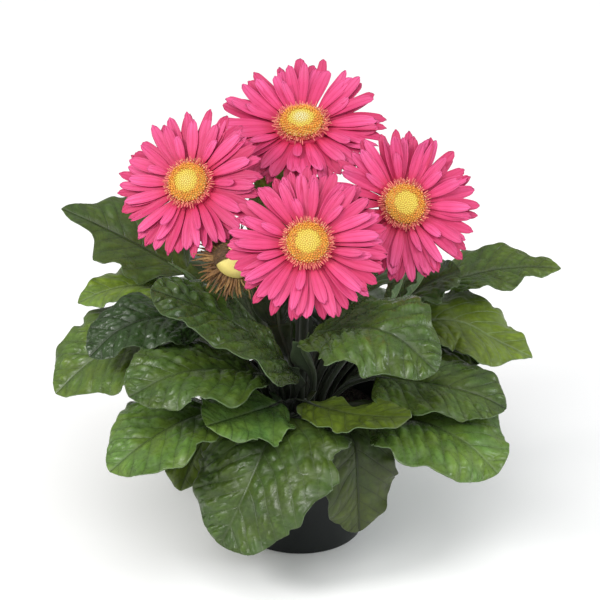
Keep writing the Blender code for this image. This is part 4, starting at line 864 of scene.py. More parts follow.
def add_sheet(shape, grid, above, below, slots=(0, 0), flip=False, **values):
    """A thin closed sheet round a grid of points, raised by above and lowered by below."""
    points = np.concatenate([(grid + above).reshape(-1, 3), (grid - below).reshape(-1, 3)])
    upper, lower = sheet_faces(*grid.shape[:2])
    if flip:
        upper, lower = [face[::-1] for face in upper], [face[::-1] for face in lower]
    start = shape.count
    shape.add(points, upper, slots[0], **values)
    shape.faces += [tuple(i + start for i in face) for face in lower]
    shape.slots += [slots[1]] * len(lower)


def tube_faces(rings, sides):
    """Faces of a closed tube of rings, with a cap at each end."""
    faces = []
    for i in range(rings - 1):
        for k in range(sides):
            n = (k + 1) % sides
            faces.append((i * sides + k, i * sides + n, (i + 1) * sides + n, (i + 1) * sides + k))
    faces.append(tuple(range(sides - 1, -1, -1)))
    faces.append(tuple(range((rings - 1) * sides, rings * sides)))
    return faces


def ring_points(centre, side, up, radius, sides, ridge=0.0, ridges=1, flat=1.0):
    """A ring round centre; ridge raises ridges over it, and flat presses it along up."""
    ring = []
    for k in range(sides):
        angle = math.tau * k / sides
        out = radius * (1.0 + ridge * math.cos(ridges * angle))
        ring.append(centre + side * (out * math.cos(angle)) + up * (flat * out * math.sin(angle)))
    return ring


def lathe(shape, frame, profile, sides, **values):
    """A closed body turned round the head's axis from (radius, height) points."""
    rings = [frame @ polar(radius, math.tau * k / sides, height)
             for radius, height in profile for k in range(sides)]
    shape.add(rings, tube_faces(len(profile), sides), **values)


def wander(*place, size=1.0):
    """Smooth noise from -1 to 1 that changes over about size."""
    return noise.noise(Vector((*place, 0.0)[:3]) / size)


# Leaves

def step_up(value, low, high):
    """A smooth step from 0 to 1 while value goes from low to high."""
    part = np.clip((value - low) / (high - low), 0.0, 1.0)
    return part * part * (3.0 - 2.0 * part)


def painted_light_at(heights, dark, span):
    """The painted light on a stem at its heights: painted shade below span and full light above it."""
    return dark + (1.0 - dark) * step_up(heights, *span)


def between(pair, t):
    return pair[0] + (pair[1] - pair[0]) * t


def leaf_sides(leaf, along):
    """The directions over the leaf, to its right and up from it, where its midrib runs along."""
    across = leaf["heading"].cross(UP)
    side = (across - along * across.dot(along)).normalized()
    return side, side.cross(along).normalized()


def inside_cell(u, w, seed):
    """How deep a place lies in its cell of the vein net: 0 on a vein and 1 well inside."""
    near = noise.voronoi(Vector((u, w, seed)))[0]
    return min((near[1] - near[0]) / 0.45, 1.0)


def blade(shape, leaf, path, place, length):
    """The leaf's blade: puckered between its veins, creased along the midrib, notched at its edge."""
    steps, columns = leaf["mesh"]
    share = np.linspace(0.0, 1.0, steps + 1)
    share = share - BLADE_CROWDING * np.sin(math.tau * share) / math.tau
    marks = BLADE_SPAN[0] + (BLADE_SPAN[1] - BLADE_SPAN[0]) * share
    over = np.linspace(-1.0, 1.0, columns + 1)
    reach = np.abs(over)
    side = np.where(over < 0, -1.0, 1.0)
    bend = math.radians(leaf["curl"])
    fold = math.tan(math.radians(leaf["fold"]))
    seed = 10.0 * leaf["phase"]
    cell = leaf["cell"]
    rows, ribs = [], []
    fields = {key: [] for key in ("across", "side_vein", "net", "margin", "quilt", "tone", "warm")}
    for t in marks:
        centre, along = path.at(place(t)), path.tangent(place(t))
        across, up = leaf_sides(leaf, along)
        roll = math.radians(between(leaf["roll"], t))
        side_way = np.array(across * math.cos(roll) - up * math.sin(roll))
        up_way = np.array(up * math.cos(roll) + across * math.sin(roll))
        end = max(0.0, (t - (BLADE_SPAN[1] - BLADE_TIP)) / BLADE_TIP)
        rounding = math.sqrt(max(1.0 - end**2, 0.0004))
        widths = {}
        for s in (-1.0, 1.0):
            edge = sum(depth * wander(rate * t, s, seed) for rate, depth in EDGE_WAVERS)
            notch = wander(NOTCH_RATE * t, 5.0 * s, seed + 3.0)
            edge -= NOTCH_DEPTH * float(step_up(notch, *NOTCH_SPAN))
            widths[s] = max(half_width(leaf, t, s) * rounding * (1.0 + edge), BLADE_LEAST)
        width = np.where(side < 0, widths[-1.0], widths[1.0])
        out = width * np.sin(bend * reach) / bend
        rise = width * (1.0 - np.cos(bend * reach)) / bend + out * fold
        broad = np.minimum(1.0, width / WAVE_FULL_WIDTH)
        ripple = np.sin(math.tau * WAVES * t + 2.1 * leaf["phase"] + WAVE_SHIFT * side)
        rise = rise + leaf["wave"] * ripple * reach**2 * broad
        frill = np.sin(math.tau * FRILLS * t + 3.0 * leaf["phase"] + FRILL_SHIFT * side)
        rise = rise + FRILL_HEIGHT * frill * reach**4 * broad
        x = side * width * reach
        a = t * length
        stray, swell, dent = (np.array([wander(a, xi, seed + shift, size=size) for xi in x])
                              for shift, size in BLADE_NOISES)
        u = a - SIDE_VEIN_SLANT * np.abs(x) - SIDE_VEIN_BEND * x**2
        u = u / SIDE_VEIN_STEP + SIDE_VEIN_STRAY * stray + SIDE_VEIN_START
        net = np.array([inside_cell(ui * SIDE_VEIN_STEP / cell, xi / (CELL_SHAPE * cell), seed)
                        for ui, xi in zip(u, x)])
        hollow = np.abs(np.sin(math.pi * u))**0.55
        pillow = net * net * (3.0 - 2.0 * net)
        quilt = (1.0 - PILLOW_SHARE) * hollow + PILLOW_SHARE * pillow * hollow
        fade = np.clip((np.abs(x) - 0.8) / 4.0, 0.0, 1.0) * np.clip(1.2 - reach**5, 0.0, 1.0)
        fade = fade * min(1.0, t / 0.12) * min(1.0, (1.02 - t) / 0.10)
        patch = 0.60 + 0.40 * step_up(swell + 0.35 * stray, -0.30, 0.30)
        crease = np.exp(-(x / CREASE_WIDTH)**2) * (1.0 - 0.65 * t) * min(1.0, t / 0.06)
        rise = rise + leaf["pucker"] * patch * (quilt - 0.5) * fade - CREASE_DEPTH * crease
        uneven = SWELL_HEIGHT * swell + DENT_HEIGHT * dent
        rise = rise + uneven * np.minimum(1.0, np.abs(x) / 10.0) * broad
        points = np.array(centre) + np.outer(side * out, side_way) + np.outer(rise, up_way)
        rows.append(points)
        ribs.append(RIB_DEPTH * np.exp(-(x / RIB_WIDTH)**2) * (1.0 - 0.75 * t))
        # Painted shade: the blade is darker near the crown and low down, and its tone field carries this.
        open_air = np.maximum(step_up(np.hypot(points[:, 0], points[:, 1]), *CROWN_SHADE),
                              step_up(points[:, 2], *leaf["lit"]))
        tone = between(leaf["tone"], t) * (leaf["shade"] + (1.0 - leaf["shade"]) * open_air)
        warm = np.full_like(x, between(leaf["warm"], t))
        for key, value in (("across", x), ("side_vein", u), ("net", net), ("quilt", quilt * fade),
                           ("margin", width * (1.0 - reach)), ("tone", tone), ("warm", warm)):
            fields[key].append(value)
    grid = np.array(rows)
    normal = surface_normals(grid)
    values = {key: np.concatenate([np.array(value).ravel()] * 2) for key, value in fields.items()}
    add_sheet(shape, grid, normal * (BLADE_THICKNESS / 2),
              normal * (BLADE_THICKNESS / 2 + np.array(ribs)[:, :, None]), (0, 1),
              pale=leaf["pale"], gloss=leaf["gloss"], lit=np.minimum(1.0, values["tone"]), **values)


def wings(shape, leaf, path, start):
    """The narrow wings by which the blade runs down its stalk towards the crown."""
    seed = 7.0 * leaf["phase"]
    rows = []
    for i in range(WING_STEPS + 1):
        q = i / WING_STEPS
        s = start * (WING_START + (WING_END - WING_START) * q)
        centre, along = path.at(s), path.tangent(s)
        side_way, up = leaf_sides(leaf, along)
        row = []
        for k in range(WING_ACROSS + 1):
            v = 2.0 * k / WING_ACROSS - 1.0
            lobe = 1.0 + 0.45 * wander(4.0 * q, 3.0 if v < 0 else 8.0, seed)
            half = STALK_RADIUS * 0.8 + WING_WIDTH * float(step_up(q, 0.0, 0.85)) * lobe
            rise = 0.55 * half * abs(v)**1.3 + 0.4 * wander(9.0 * q, 2.0 * v, seed)
            row.append(np.array(centre + side_way * (half * v) + up * (rise + 0.5)))
        rows.append(row)
    grid = np.array(rows)
    normal = surface_normals(grid) * (BLADE_THICKNESS / 2)
    heights = np.concatenate([(grid + normal)[:, :, 2].ravel(), (grid - normal)[:, :, 2].ravel()])
    # Painted shade on the wings near the crown, from their heights.
    lit = painted_light_at(heights, STALK_DARK, STALK_LIT)
    add_sheet(shape, grid, normal, normal, (0, 1), tone=lit * leaf["tone"][0], warm=leaf["warm"][0],
              across=9.0, side_vein=0.5, net=1.0, margin=9.0, quilt=0.4, gloss=0.2, lit=lit)


def stalk(shape, leaf, path, top, place):
    """The leaf's stalk, from its socket to under the blade's foot, channelled above."""
    foot = top - Vector((0, 0, SOCKET_DEPTH))
    end = place(STALK_UNDER_BLADE)
    rings = []
    for s in [None] + [end * k / STALK_STEPS for k in range(STALK_STEPS + 1)]:
        centre = foot if s is None else path.at(s)
        along = path.tangent(s) if s else UP
        side, up = leaf_sides(leaf, along)
        late = max(0.0, ((s or 0.0) - 0.8 * end) / (0.2 * end))
        radius = STALK_RADIUS * (1.0 - 0.55 * late)
        rings += ring_points(centre - up * (1.2 * late), side, up, radius, STALK_SIDES, 0.06, 5, 0.9)
    heights = np.array([point.z for point in rings])
    # Painted shade on the stalk near the crown, from its heights.
    lit = painted_light_at(heights, STALK_DARK, STALK_LIT)
    shape.add(rings, tube_faces(STALK_STEPS + 2, STALK_SIDES), 2, lit=lit)


def leaf_piece(row):
    leaf = {**LEAF_DEFAULTS, **LOOK_DEFAULTS, **row, **LEAF_LOOKS.get(row["name"], {})}
    top = socket(leaf["crown"])
    tip = Vector(leaf["blade"][-1])
    leaf["heading"] = Vector((*(leaf["heading"] or (tip - top).xy), 0.0)).normalized()
    path = Path([top, *leaf["stalk"], *leaf["blade"]])
    start, end = 1 + len(leaf["stalk"]), len(leaf["stalk"]) + len(leaf["blade"])
    place = path.measure(start, end)
    fine = [path.at(place(i / MIDRIB_PARTS)) for i in range(MIDRIB_PARTS + 1)]
    length = sum((b - a).length for a, b in zip(fine, fine[1:]))
    shape = Shape("across", "side_vein", "net", "margin", "quilt", "tone", "warm", "pale", "gloss", "lit")
    blade(shape, leaf, path, place, length)
    wings(shape, leaf, path, start)
    stalk(shape, leaf, path, top, place)
    upper = UPPER_DOWNY if leaf["colour"] == "scape_green" else UPPER_GREEN
    return shape.make("blade_" + leaf["name"], [upper, UNDERSIDE, STALK_GREEN], leaf["name"])


# Flowers

def head_frame(flower):
    """Rotation and place that carry a head's own space to the plant's."""
    facing = Vector(flower["facing"]).normalized()
    turn = UP.rotation_difference(facing).to_matrix().to_4x4()
    return Matrix.Translation(Vector(flower["head"])) @ turn


def petal(shape, frame, draw, radius, reach, angle, foot, rise, half, droop, wild, deep, dish):
    """One ray petal: a thin grooved lance that narrows to a small notched tip."""
    grid = np.zeros((PETAL_STEPS + 1, PETAL_ACROSS + 1, 3))
    along, over, groove = (np.zeros(grid.shape[:2]) for _ in range(3))
    shade = draw.random()
    stray = math.radians(draw.uniform(-4.5, 4.5)) * wild
    lean = math.radians(draw.gauss(0.0, 8.0)) * wild
    twist = math.radians(draw.gauss(0.0, 15.0)) * wild
    sway = draw.uniform(-1.2, 1.2) * wild
    cup = draw.uniform(0.08, 0.38)
    tip_bend = draw.gauss(0.3, 1.5) * wild
    belly = draw.uniform(0.50, 0.66)
    taper = draw.uniform(0.42, 0.62)
    notch = draw.uniform(0.2, 1.3)
    phase = draw.uniform(0.0, math.tau)
    for i in range(PETAL_STEPS + 1):
        q = (1.0 + PETAL_ROOT) * (i / PETAL_STEPS)**0.92 - PETAL_ROOT
        late = max(q, 0.0)
        wide = 0.42 + 0.58 * math.sin(math.pi / 2 * min(late / belly, 1.0))**1.1
        wide *= 1.0 - taper * max(0.0, (q - belly) / (1.0 - belly))**1.7
        if q > PETAL_TIP:
            wide *= math.sqrt(max(1.0 - ((q - PETAL_TIP) / 0.103)**2, 0.03))
        turn = Matrix.Rotation(angle + stray * late, 4, "Z")
        tilt = lean * late + twist * late**1.6
        for k in range(PETAL_ACROSS + 1):
            v = 2.0 * k / PETAL_ACROSS - 1.0
            side = v * half * wide
            ridge = math.cos(PETAL_GROOVES * math.pi * v)
            fray = notch * (math.cos(3.0 * math.pi * v) - 1.0) * 0.5 * max(0.0, (q - 0.88) / 0.12)
            out = radius + (reach - radius) * q + fray
            height = foot + (out - radius) * math.tan(rise) - droop * late**2
            height += tip_bend * max(0.0, (q - 0.55) / 0.45)**2 + sway * math.sin(2.6 * q + phase) * late
            height += cup * half * wide * v * v
            height -= PETAL_GROOVE_DEPTH * ridge * min(1.0, late * 3)
            point = turn @ Vector((out, side * math.cos(tilt), height + side * math.sin(tilt)))
            point.z += dish(point)
            grid[i, k] = frame @ point
            along[i, k] = q
            over[i, k] = side
            groove[i, k] = 0.5 + 0.5 * ridge
    normal = surface_normals(grid) * (PETAL_THICKNESS / 2)
    add_sheet(shape, grid, normal, normal, along=np.tile(along.ravel(), 2),
              across=np.tile(over.ravel(), 2), groove=np.tile(groove.ravel(), 2), shade=shade, deep=deep)


def rays(flower):
    """The petals of one head in their rows, and the receptacle that they grow from."""
    draw = random.Random(flower["seed"])
    frame = head_frame(flower)
    size = flower["size"]
    radius = HUB_RADIUS * size

    def dish(point):
        """Height of the petals' bowl, which rises more on the far side where the head has lift."""
        away = Vector((point.x, point.y, 0.0))
        far = (frame.to_3x3() @ away.normalized()).y
        return (away.length - radius) * math.tan(math.radians(flower["cone"] + flower["lift"] * far))

    shape = Shape("along", "across", "shade", "groove", "deep")
    for count, start, length, spread, half, foot, extra, droop, deep in PETAL_ROWS:
        for k in range(count):
            angle = math.tau * (k + start + draw.uniform(-0.27, 0.27)) / count
            rise = math.radians(extra + draw.uniform(-1.2, 1.6))
            near = max(0.0, -(frame.to_3x3() @ polar(1.0, angle)).y)
            short = 1.0 - flower["tuck"] * near**1.5
            reach = radius + (length * size - radius) * draw.uniform(1.0 - spread, 1.0) * short
            wide = half * size * draw.uniform(0.86, 1.10)
            sag = droop * draw.uniform(0.7, 1.3)
            petal(shape, frame, draw, radius, reach, angle, foot, rise, wide, sag, flower["wild"], deep,
                  dish)
    hub = [(AXIS, 0.0), (radius * 0.9, 0.0), (radius, 0.8), (radius * 0.99, HUB_THICKNESS - 0.8),
           (radius * 0.9, HUB_THICKNESS), (AXIS, HUB_THICKNESS)]
    # The receptacle under the petals and disc gets painted shade through deep.
    lathe(shape, frame, hub, HUB_SIDES, along=0.0, shade=0.5, deep=0.6)
    return shape.make("petals_" + flower["name"], [PETAL_PINK], "rays_" + flower["name"])


def small_strap(shape, frame, angle, radius, low, length, half, rise, curl, shade):
    """A tiny tongue that leaves a ring outwards and curls up or down."""
    turn = Matrix.Rotation(angle, 4, "Z")
    rings = []
    for i in range(TONGUE_STEPS + 1):
        q = i / TONGUE_STEPS
        slope = rise + curl * q
        out = radius + length * q * math.cos(slope)
        height = low + length * q * math.sin(slope)
        wide = half * (1.0 - (1.0 - TONGUE_TIP) * q**2)
        for side, face in STRAP_CORNERS:
            rings.append(frame @ turn @ Vector((out, side * wide, height + face * 0.16)))
    along = np.repeat(np.linspace(0.0, 1.0, TONGUE_STEPS + 1), 4)
    shape.add(rings, tube_faces(TONGUE_STEPS + 1, 4), along=along, shade=shade)


def fringe(flower):
    """The inner florets round the disc: rows of small salmon tongues over a thin plate."""
    draw = random.Random(200 + flower["seed"])
    frame = head_frame(flower)
    size = flower["size"]
    low = HUB_THICKNESS + GAP
    shape = Shape("along", "shade")
    plate = [(AXIS, low), (12.6 * size, low), (13.2 * size, low + 0.5), (12.4 * size, low + 1.2),
             (AXIS, low + 1.5)]
    lathe(shape, frame, plate, PLATE_SIDES, along=0.1, shade=0.6)
    for radius, count, length, rise in FRINGE_ROWS:
        for k in range(count):
            angle = math.tau * (k + draw.uniform(-0.35, 0.35)) / count
            small_strap(shape, frame, angle, radius * size, low + 0.9 + 0.5 * draw.random(),
                        length * size * draw.uniform(0.70, 1.12), TONGUE_HALF * size,
                        math.radians(rise + draw.uniform(-9.0, 9.0)),
                        math.radians(draw.uniform(-30.0, 35.0)), draw.random())
    return shape.make("inner_florets_" + flower["name"], [FRINGE_SALMON], "fringe_" + flower["name"])


def grain(shape, centre, radius, **values):
    """A small ball of pollen or a crumb, as a coarse sphere."""
    points = [centre - UP * radius]
    for height, turn in ((-0.5, 0.0), (0.5, 0.5)):
        for k in range(5):
            points.append(centre + polar(radius * 0.87, math.tau * (k + turn) / 5, radius * height))
    points.append(centre + UP * radius)
    faces = []
    for k in range(5):
        n = (k + 1) % 5
        faces += [(0, 1 + n, 1 + k), (11, 6 + k, 6 + n), (1 + k, 1 + n, 6 + k), (1 + n, 6 + n, 6 + k)]
    shape.add(points, faces, **values)


def pollen(flower):
    """Cream stigma tips that stand round the disc."""
    draw = random.Random(300 + flower["seed"])
    frame = head_frame(flower)
    size = flower["size"]
    shape = Shape("along", "shade")
    for radius, count, height in POLLEN_ROWS:
        for k in range(count):
            angle = math.tau * (k + draw.uniform(-0.4, 0.4)) / count
            out = (radius + draw.uniform(-0.8, 0.8)) * size
            top = frame @ polar(out, angle, height + draw.uniform(-0.5, 0.4))
            grain(shape, top, POLLEN_RADIUS * draw.uniform(0.8, 1.3), along=1.0, shade=0.5 * draw.random())
    return shape.make("pollen_" + flower["name"], [POLLEN_CREAM])


def floret_bud(shape, frame, place, normal, radius, height, out, shade, fresh):
    """One closed or open disc floret: a short six-sided bud with a rounded top."""
    side = normal.cross(Vector((0, 1, 0.01))).normalized()
    up = normal.cross(side)
    rings = []
    for level, wide in BUD_PROFILE:
        for k in range(BUD_SIDES):
            angle = math.tau * k / BUD_SIDES
            across = side * (radius * wide * math.cos(angle))
            rings.append(frame @ (place + normal * (height * level) + across
                                  + up * (radius * wide * math.sin(angle))))
    along = np.repeat(BUD_ALONG, BUD_SIDES)
    shape.add(rings, tube_faces(len(BUD_PROFILE), BUD_SIDES), along=along, out=out, shade=shade, fresh=fresh)


def disc(flower):
    """The dome of disc florets in spirals, small and closed in the middle, larger towards the rim."""
    draw = random.Random(400 + flower["seed"])
    frame = head_frame(flower)
    shape = Shape("along", "out", "shade", "fresh")
    radius = DOME_RADIUS * flower["size"]
    low = HUB_THICKNESS + 2 * GAP + 1.5

    def core(out):
        """Height of the dome under the florets, at a share of its radius."""
        return low + DOME_HEIGHT * (1.0 - min(out, 1.0)**2)**0.62 - DISC_SUNK

    profile = [(AXIS, low - 0.4), (radius * 0.97, low - 0.4)]
    profile += [(radius * out, core(out)) for out in (0.98, 0.93, 0.85, 0.72, 0.55, 0.35, 0.15)]
    profile.append((AXIS, core(0.0)))
    lathe(shape, frame, profile, HUB_SIDES, along=0.0, out=0.6, shade=0.3)
    for n in range(DISC_BUDS):
        out = math.sqrt((n + 0.5) / DISC_BUDS)
        angle = n * GOLDEN_ANGLE
        open_bud = out > DISC_OPEN
        spot = radius * out * 0.985 + (draw.uniform(-0.25, 0.25) if open_bud else 0.0)
        place = polar(spot, angle, core(spot / radius))
        slope = polar(out**3, angle, 1.0).normalized()
        bud = radius / math.sqrt(DISC_BUDS) * (draw.uniform(0.52, 0.92) if open_bud else 0.88)
        tall = draw.uniform(0.7, 1.7) if open_bud else 0.4 * draw.uniform(0.85, 1.15)
        floret_bud(shape, frame, place, slope, bud, tall, out, draw.random() if open_bud else 0.2,
                   flower["fresh"])
    return shape.make("disc_florets_" + flower["name"], [DISC_YELLOW], "disc_" + flower["name"])


def scape(flower):
    """The bare stem of a head and its cup of overlapping green bracts."""
    size = flower["size"]
    frame = head_frame(flower)
    top = socket(flower["crown"])
    foot = top - Vector((0, 0, SOCKET_DEPTH))
    low = -CUP_HEIGHT * size - SCAPE_NECK
    path = Path([top, *flower["bend"], frame @ Vector((0, 0, low))])
    path.slopes[-1] = Vector(flower["facing"]).normalized() * SCAPE_LAST_SLOPE
    shape = Shape("lit")
    rings = ring_points(foot, RIGHT, FAR, SCAPE_RADIUS, SCAPE_SIDES)
    marks = path.even(0, len(path.points) - 1, SCAPE_STEPS)
    for s in marks:
        along = path.tangent(s) if s else UP
        side = (RIGHT - along * along.x).normalized()
        rings += ring_points(path.at(s), side, along.cross(side), SCAPE_RADIUS, SCAPE_SIDES, 0.035, 6)
    heights = np.array([point.z for point in rings])
    # Painted shade on the scape near the crown, from its heights.
    lit = painted_light_at(heights, SCAPE_DARK, flower["lit"])
    shape.add(rings, tube_faces(len(marks) + 1, SCAPE_SIDES), lit=lit)
    cup = [(AXIS, low - 1.0), (SCAPE_RADIUS, low)]
    cup += [(CUP_RADIUS * size * out, -CUP_HEIGHT * size * drop) for out, drop in CUP_PROFILE]
    cup += [(CUP_RADIUS * size * 0.9, -GAP), (AXIS, -GAP)]
    lathe(shape, frame, cup, PLATE_SIDES, lit=1.0)
    for row, (start, count, length) in enumerate(BRACT_ROWS):
        for k in range(count):
            bract(shape, frame, size, math.tau * (k + 0.5 * row) / count, start, length, row)
    return shape.make("stem_" + flower["name"], [SCAPE_GREEN], "scape_" + flower["name"])


def cup_radius(height):
    """Radius of the cup, as a share of its full radius, at a height from -1 to 0."""
    return 0.38 + 0.58 * math.sin(math.pi / 2 * min(max(height + 1.0, 0.0), 1.0))**0.8


def bract(shape, frame, size, angle, start, length, row):
    """A narrow green scale that lies on the cup and stands a little off it at its tip."""
    grid = np.zeros((BRACT_STEPS + 1, BRACT_ACROSS + 1, 3))
    for i in range(BRACT_STEPS + 1):
        q = i / BRACT_STEPS
        height = min(start + length / CUP_HEIGHT * q, 0.0)
        off = 0.35 + BRACT_LAYER * row + 0.7 * q**3
        out = CUP_RADIUS * size * cup_radius(height) + off
        half = BRACT_HALF * size * math.sin(math.pi * (0.12 + 0.86 * (1.0 - q)**0.8))**0.8
        half = max(half * (1.0 - 0.35 * q), 0.12)
        for k in range(BRACT_ACROSS + 1):
            v = 2.0 * k / BRACT_ACROSS - 1.0
            lift = 0.25 * (1.0 - v * v)
            grid[i, k] = frame @ polar(out + lift, angle + v * half / out, height * CUP_HEIGHT * size)
    inward = -BRACT_THICKNESS / 2 * surface_normals(grid)
    add_sheet(shape, grid, inward, inward, flip=True, lit=1.0)


def withered_florets(flower):
    """The skirt of dry curled florets round the spent head's dome; some curl over its far left."""
    draw = random.Random(77)
    frame = head_frame(flower)
    shape = Shape("along", "shade")
    plate = SHRED_PLATE_RADIUS
    profile = [(AXIS, 0.0), (plate - 0.4, 0.0), (plate, 1.3), (plate - 0.8, 2.6), (AXIS, 2.6)]
    lathe(shape, frame, profile, SHRED_PLATE_SIDES, shade=0.2)
    marks = np.linspace(0, 1, SHRED_STEPS + 1)
    faces = tube_faces(SHRED_STEPS + 1, 4)
    for k in range(SHREDS):
        angle = math.tau * k / SHREDS + draw.uniform(-0.07, 0.07)
        turn = Matrix.Rotation(angle, 4, "Z")
        reach = draw.uniform(SHRED_REACH[0] - 3.0, SHRED_REACH[1]) - SHRED_TUCK * max(math.cos(angle), 0.0)
        drop = draw.uniform(-0.5, 7.5)
        start = draw.uniform(0.4, 2.3)
        sway = draw.uniform(-0.25, 0.25)
        curl = draw.uniform(-2.0, 3.0)
        half = draw.uniform(0.45, 0.95)
        rings = []
        for q in marks.tolist():
            out = plate - 1.0 + (reach - plate + 1.0) * q
            wiggle = 0.6 * math.sin(5.0 * q + 7.0 * angle) * q
            height = start - drop * q**1.6 + curl * q**4
            wide = half * (1.0 - 0.72 * q**2)
            for s, face in STRAP_CORNERS:
                aside = s * wide + wiggle + sway * out * q * 0.3
                spot = Vector((out, aside, height + face * 0.24 * (1.2 - q)))
                rings.append(frame @ turn @ spot)
        shape.add(rings, faces, along=np.repeat(marks, 4), shade=draw.random())
    for k in range(CURLED_SHREDS):
        angle = math.radians(draw.uniform(75.0, 205.0))
        side_way = Vector((-math.sin(angle), math.cos(angle), 0.0))
        start = draw.uniform(0.98, 1.06) * SPENT_DOME_RADIUS
        over = draw.uniform(0.30, 0.75) * SPENT_DOME_RADIUS
        half = draw.uniform(0.6, 1.3)
        slant = math.radians(draw.uniform(-25.0, 25.0))
        rings = []
        for q in marks.tolist():
            out = start - (start - over) * q
            here = polar(out, angle + slant * q)
            here.z = 2.4 + spent_dome(out / SPENT_DOME_RADIUS) * min(1.0, 0.5 + q) + 0.7
            here.z += 0.9 * math.sin(math.pi * q)
            wide = half * (1.0 - 0.7 * q**2)
            for s, face in STRAP_CORNERS:
                rings.append(frame @ (here + side_way * (s * wide) + Vector((0, 0, face * 0.2))))
        shape.add(rings, faces, along=0.1, shade=0.35 * draw.random())
    return shape.make("withered_florets", [WITHERED_BROWN], "florets_" + flower["name"])


def spent_dome(out):
    """Height of the spent head's dome at a share of its radius."""
    return SPENT_DOME_HEIGHT * (1.0 - min(out, 1.0)**2)**0.6


def dome(flower):
    """The smooth pale dome of the spent head."""
    frame = head_frame(flower)
    shape = Shape("out")
    points = [frame @ polar(0.97 * SPENT_DOME_RADIUS, math.tau * k / SPENT_DOME_SIDES, SPENT_DOME_LOW - 0.1)
              for k in range(SPENT_DOME_SIDES)]
    outs = [1.0] * SPENT_DOME_SIDES
    for i in range(SPENT_DOME_RINGS + 1):
        out = math.cos(math.pi / 2 * i / SPENT_DOME_RINGS) + 0.002
        for k in range(SPENT_DOME_SIDES):
            angle = math.tau * k / SPENT_DOME_SIDES
            x, y = SPENT_DOME_RADIUS * out * math.cos(angle), SPENT_DOME_RADIUS * out * math.sin(angle)
            height = SPENT_DOME_LOW + spent_dome(out) * (1.0 + 0.05 * wander(x, y, size=7.0))
            points.append(frame @ Vector((x, y, height)))
            outs.append(out)
    shape.add(points, tube_faces(SPENT_DOME_RINGS + 2, SPENT_DOME_SIDES), out=outs)
    return shape.make("spent_dome", [DOME_PALE], "disc_" + flower["name"])


# Pot and soil

def pot():
    """The nursery pot: tapered wall, step under the collar, rolled rim, and holes through the floor."""
    step = POT_HEIGHT - POT_COLLAR_DROP
    below = POT_COLLAR_RADIUS - POT_STEP
    inner = below - POT_WALL
    foot_inner = POT_FOOT_RADIUS - POT_WALL + 0.3
    profile = [
        (POT_FOOT_RADIUS - 1.5, 0.0), (POT_FOOT_RADIUS - 0.5, 0.45), (POT_FOOT_RADIUS, 1.5),
        (below, step - 1.0), (below + 0.5, step - 0.45), (POT_COLLAR_RADIUS - 0.25, step - 0.1),
        (POT_COLLAR_RADIUS, step + 0.35), (POT_COLLAR_RADIUS + 1.0, POT_HEIGHT - 3.2),
        (POT_COLLAR_RADIUS + 1.6, POT_HEIGHT - 2.75), (POT_RIM_RADIUS - 0.3, POT_HEIGHT - 2.4),
        (POT_RIM_RADIUS, POT_HEIGHT - 1.7), (POT_RIM_RADIUS - 0.2, POT_HEIGHT - 0.5),
        (POT_RIM_RADIUS - 0.9, POT_HEIGHT), (POT_COLLAR_RADIUS, POT_HEIGHT - 0.1),
        (POT_COLLAR_RADIUS - 0.6, POT_HEIGHT - 0.7), (inner, step - 2.0), (foot_inner, POT_FLOOR + 1.0),
        (foot_inner - 1.0, POT_FLOOR),
    ]
    shape = Shape()
    rings = [ring_points(Vector((0, 0, height)), RIGHT, FAR, radius, POT_SIDES)
             for radius, height in profile]
    shape.add([p for ring in rings for p in ring], tube_faces(len(rings), POT_SIDES))
    made = shape.make("nursery_pot", [POT_PLASTIC], "pot")
    drill(made)
    return made


def drill(made):
    """Bores the drain holes through the pot's floor."""
    drills = []
    for k in range(DRAIN_HOLES):
        angle = math.tau * (k + 0.5) / DRAIN_HOLES
        spot = (DRAIN_CIRCLE * math.cos(angle) * MM, DRAIN_CIRCLE * math.sin(angle) * MM, POT_FLOOR * MM / 2)
        work = bmesh.new()
        bmesh.ops.create_cone(work, cap_ends=True, segments=DRAIN_SIDES, radius1=DRAIN_RADIUS * MM,
                              radius2=DRAIN_RADIUS * MM, depth=3 * POT_FLOOR * MM,
                              matrix=Matrix.Translation(spot))
        mesh = bpy.data.meshes.new("drill")
        work.to_mesh(mesh)
        work.free()
        drills.append(bpy.data.objects.new("drill", mesh))
    cutters = bpy.data.collections.new("drills")
    bpy.context.scene.collection.children.link(cutters)
    for one in drills:
        cutters.objects.link(one)
    bore = made.modifiers.new("bore", "BOOLEAN")
    bore.operand_type = "COLLECTION"
    bore.collection = cutters
    bpy.context.view_layer.update()
    graph = bpy.context.evaluated_depsgraph_get()
    bored = bpy.data.meshes.new_from_object(made.evaluated_get(graph))
    made.modifiers.clear()
    made.data = bored
    bored.set_sharp_from_angle(angle=math.radians(POT_SHARP))
    for one in drills:
        bpy.data.objects.remove(one)
    bpy.data.collections.remove(cutters)


def soil_height(x, y):
    """Height of the crumbly soil, flat where the stems stand."""
    out = math.hypot(x, y)
    rough = min(max((out - SOIL_CALM) / 6.0, 0.15), 1.0)
    fall = max(0.0, (out - SOIL_FLAT) / SOIL_SLOPE_RUN)
    base = SOIL_TOP + SOIL_MOUND - (SOIL_MOUND + SOIL_SINK) * fall
    return base + rough * (1.3 * wander(x, y, size=6.0) + 0.7 * wander(x, y, 5.0, size=2.4))


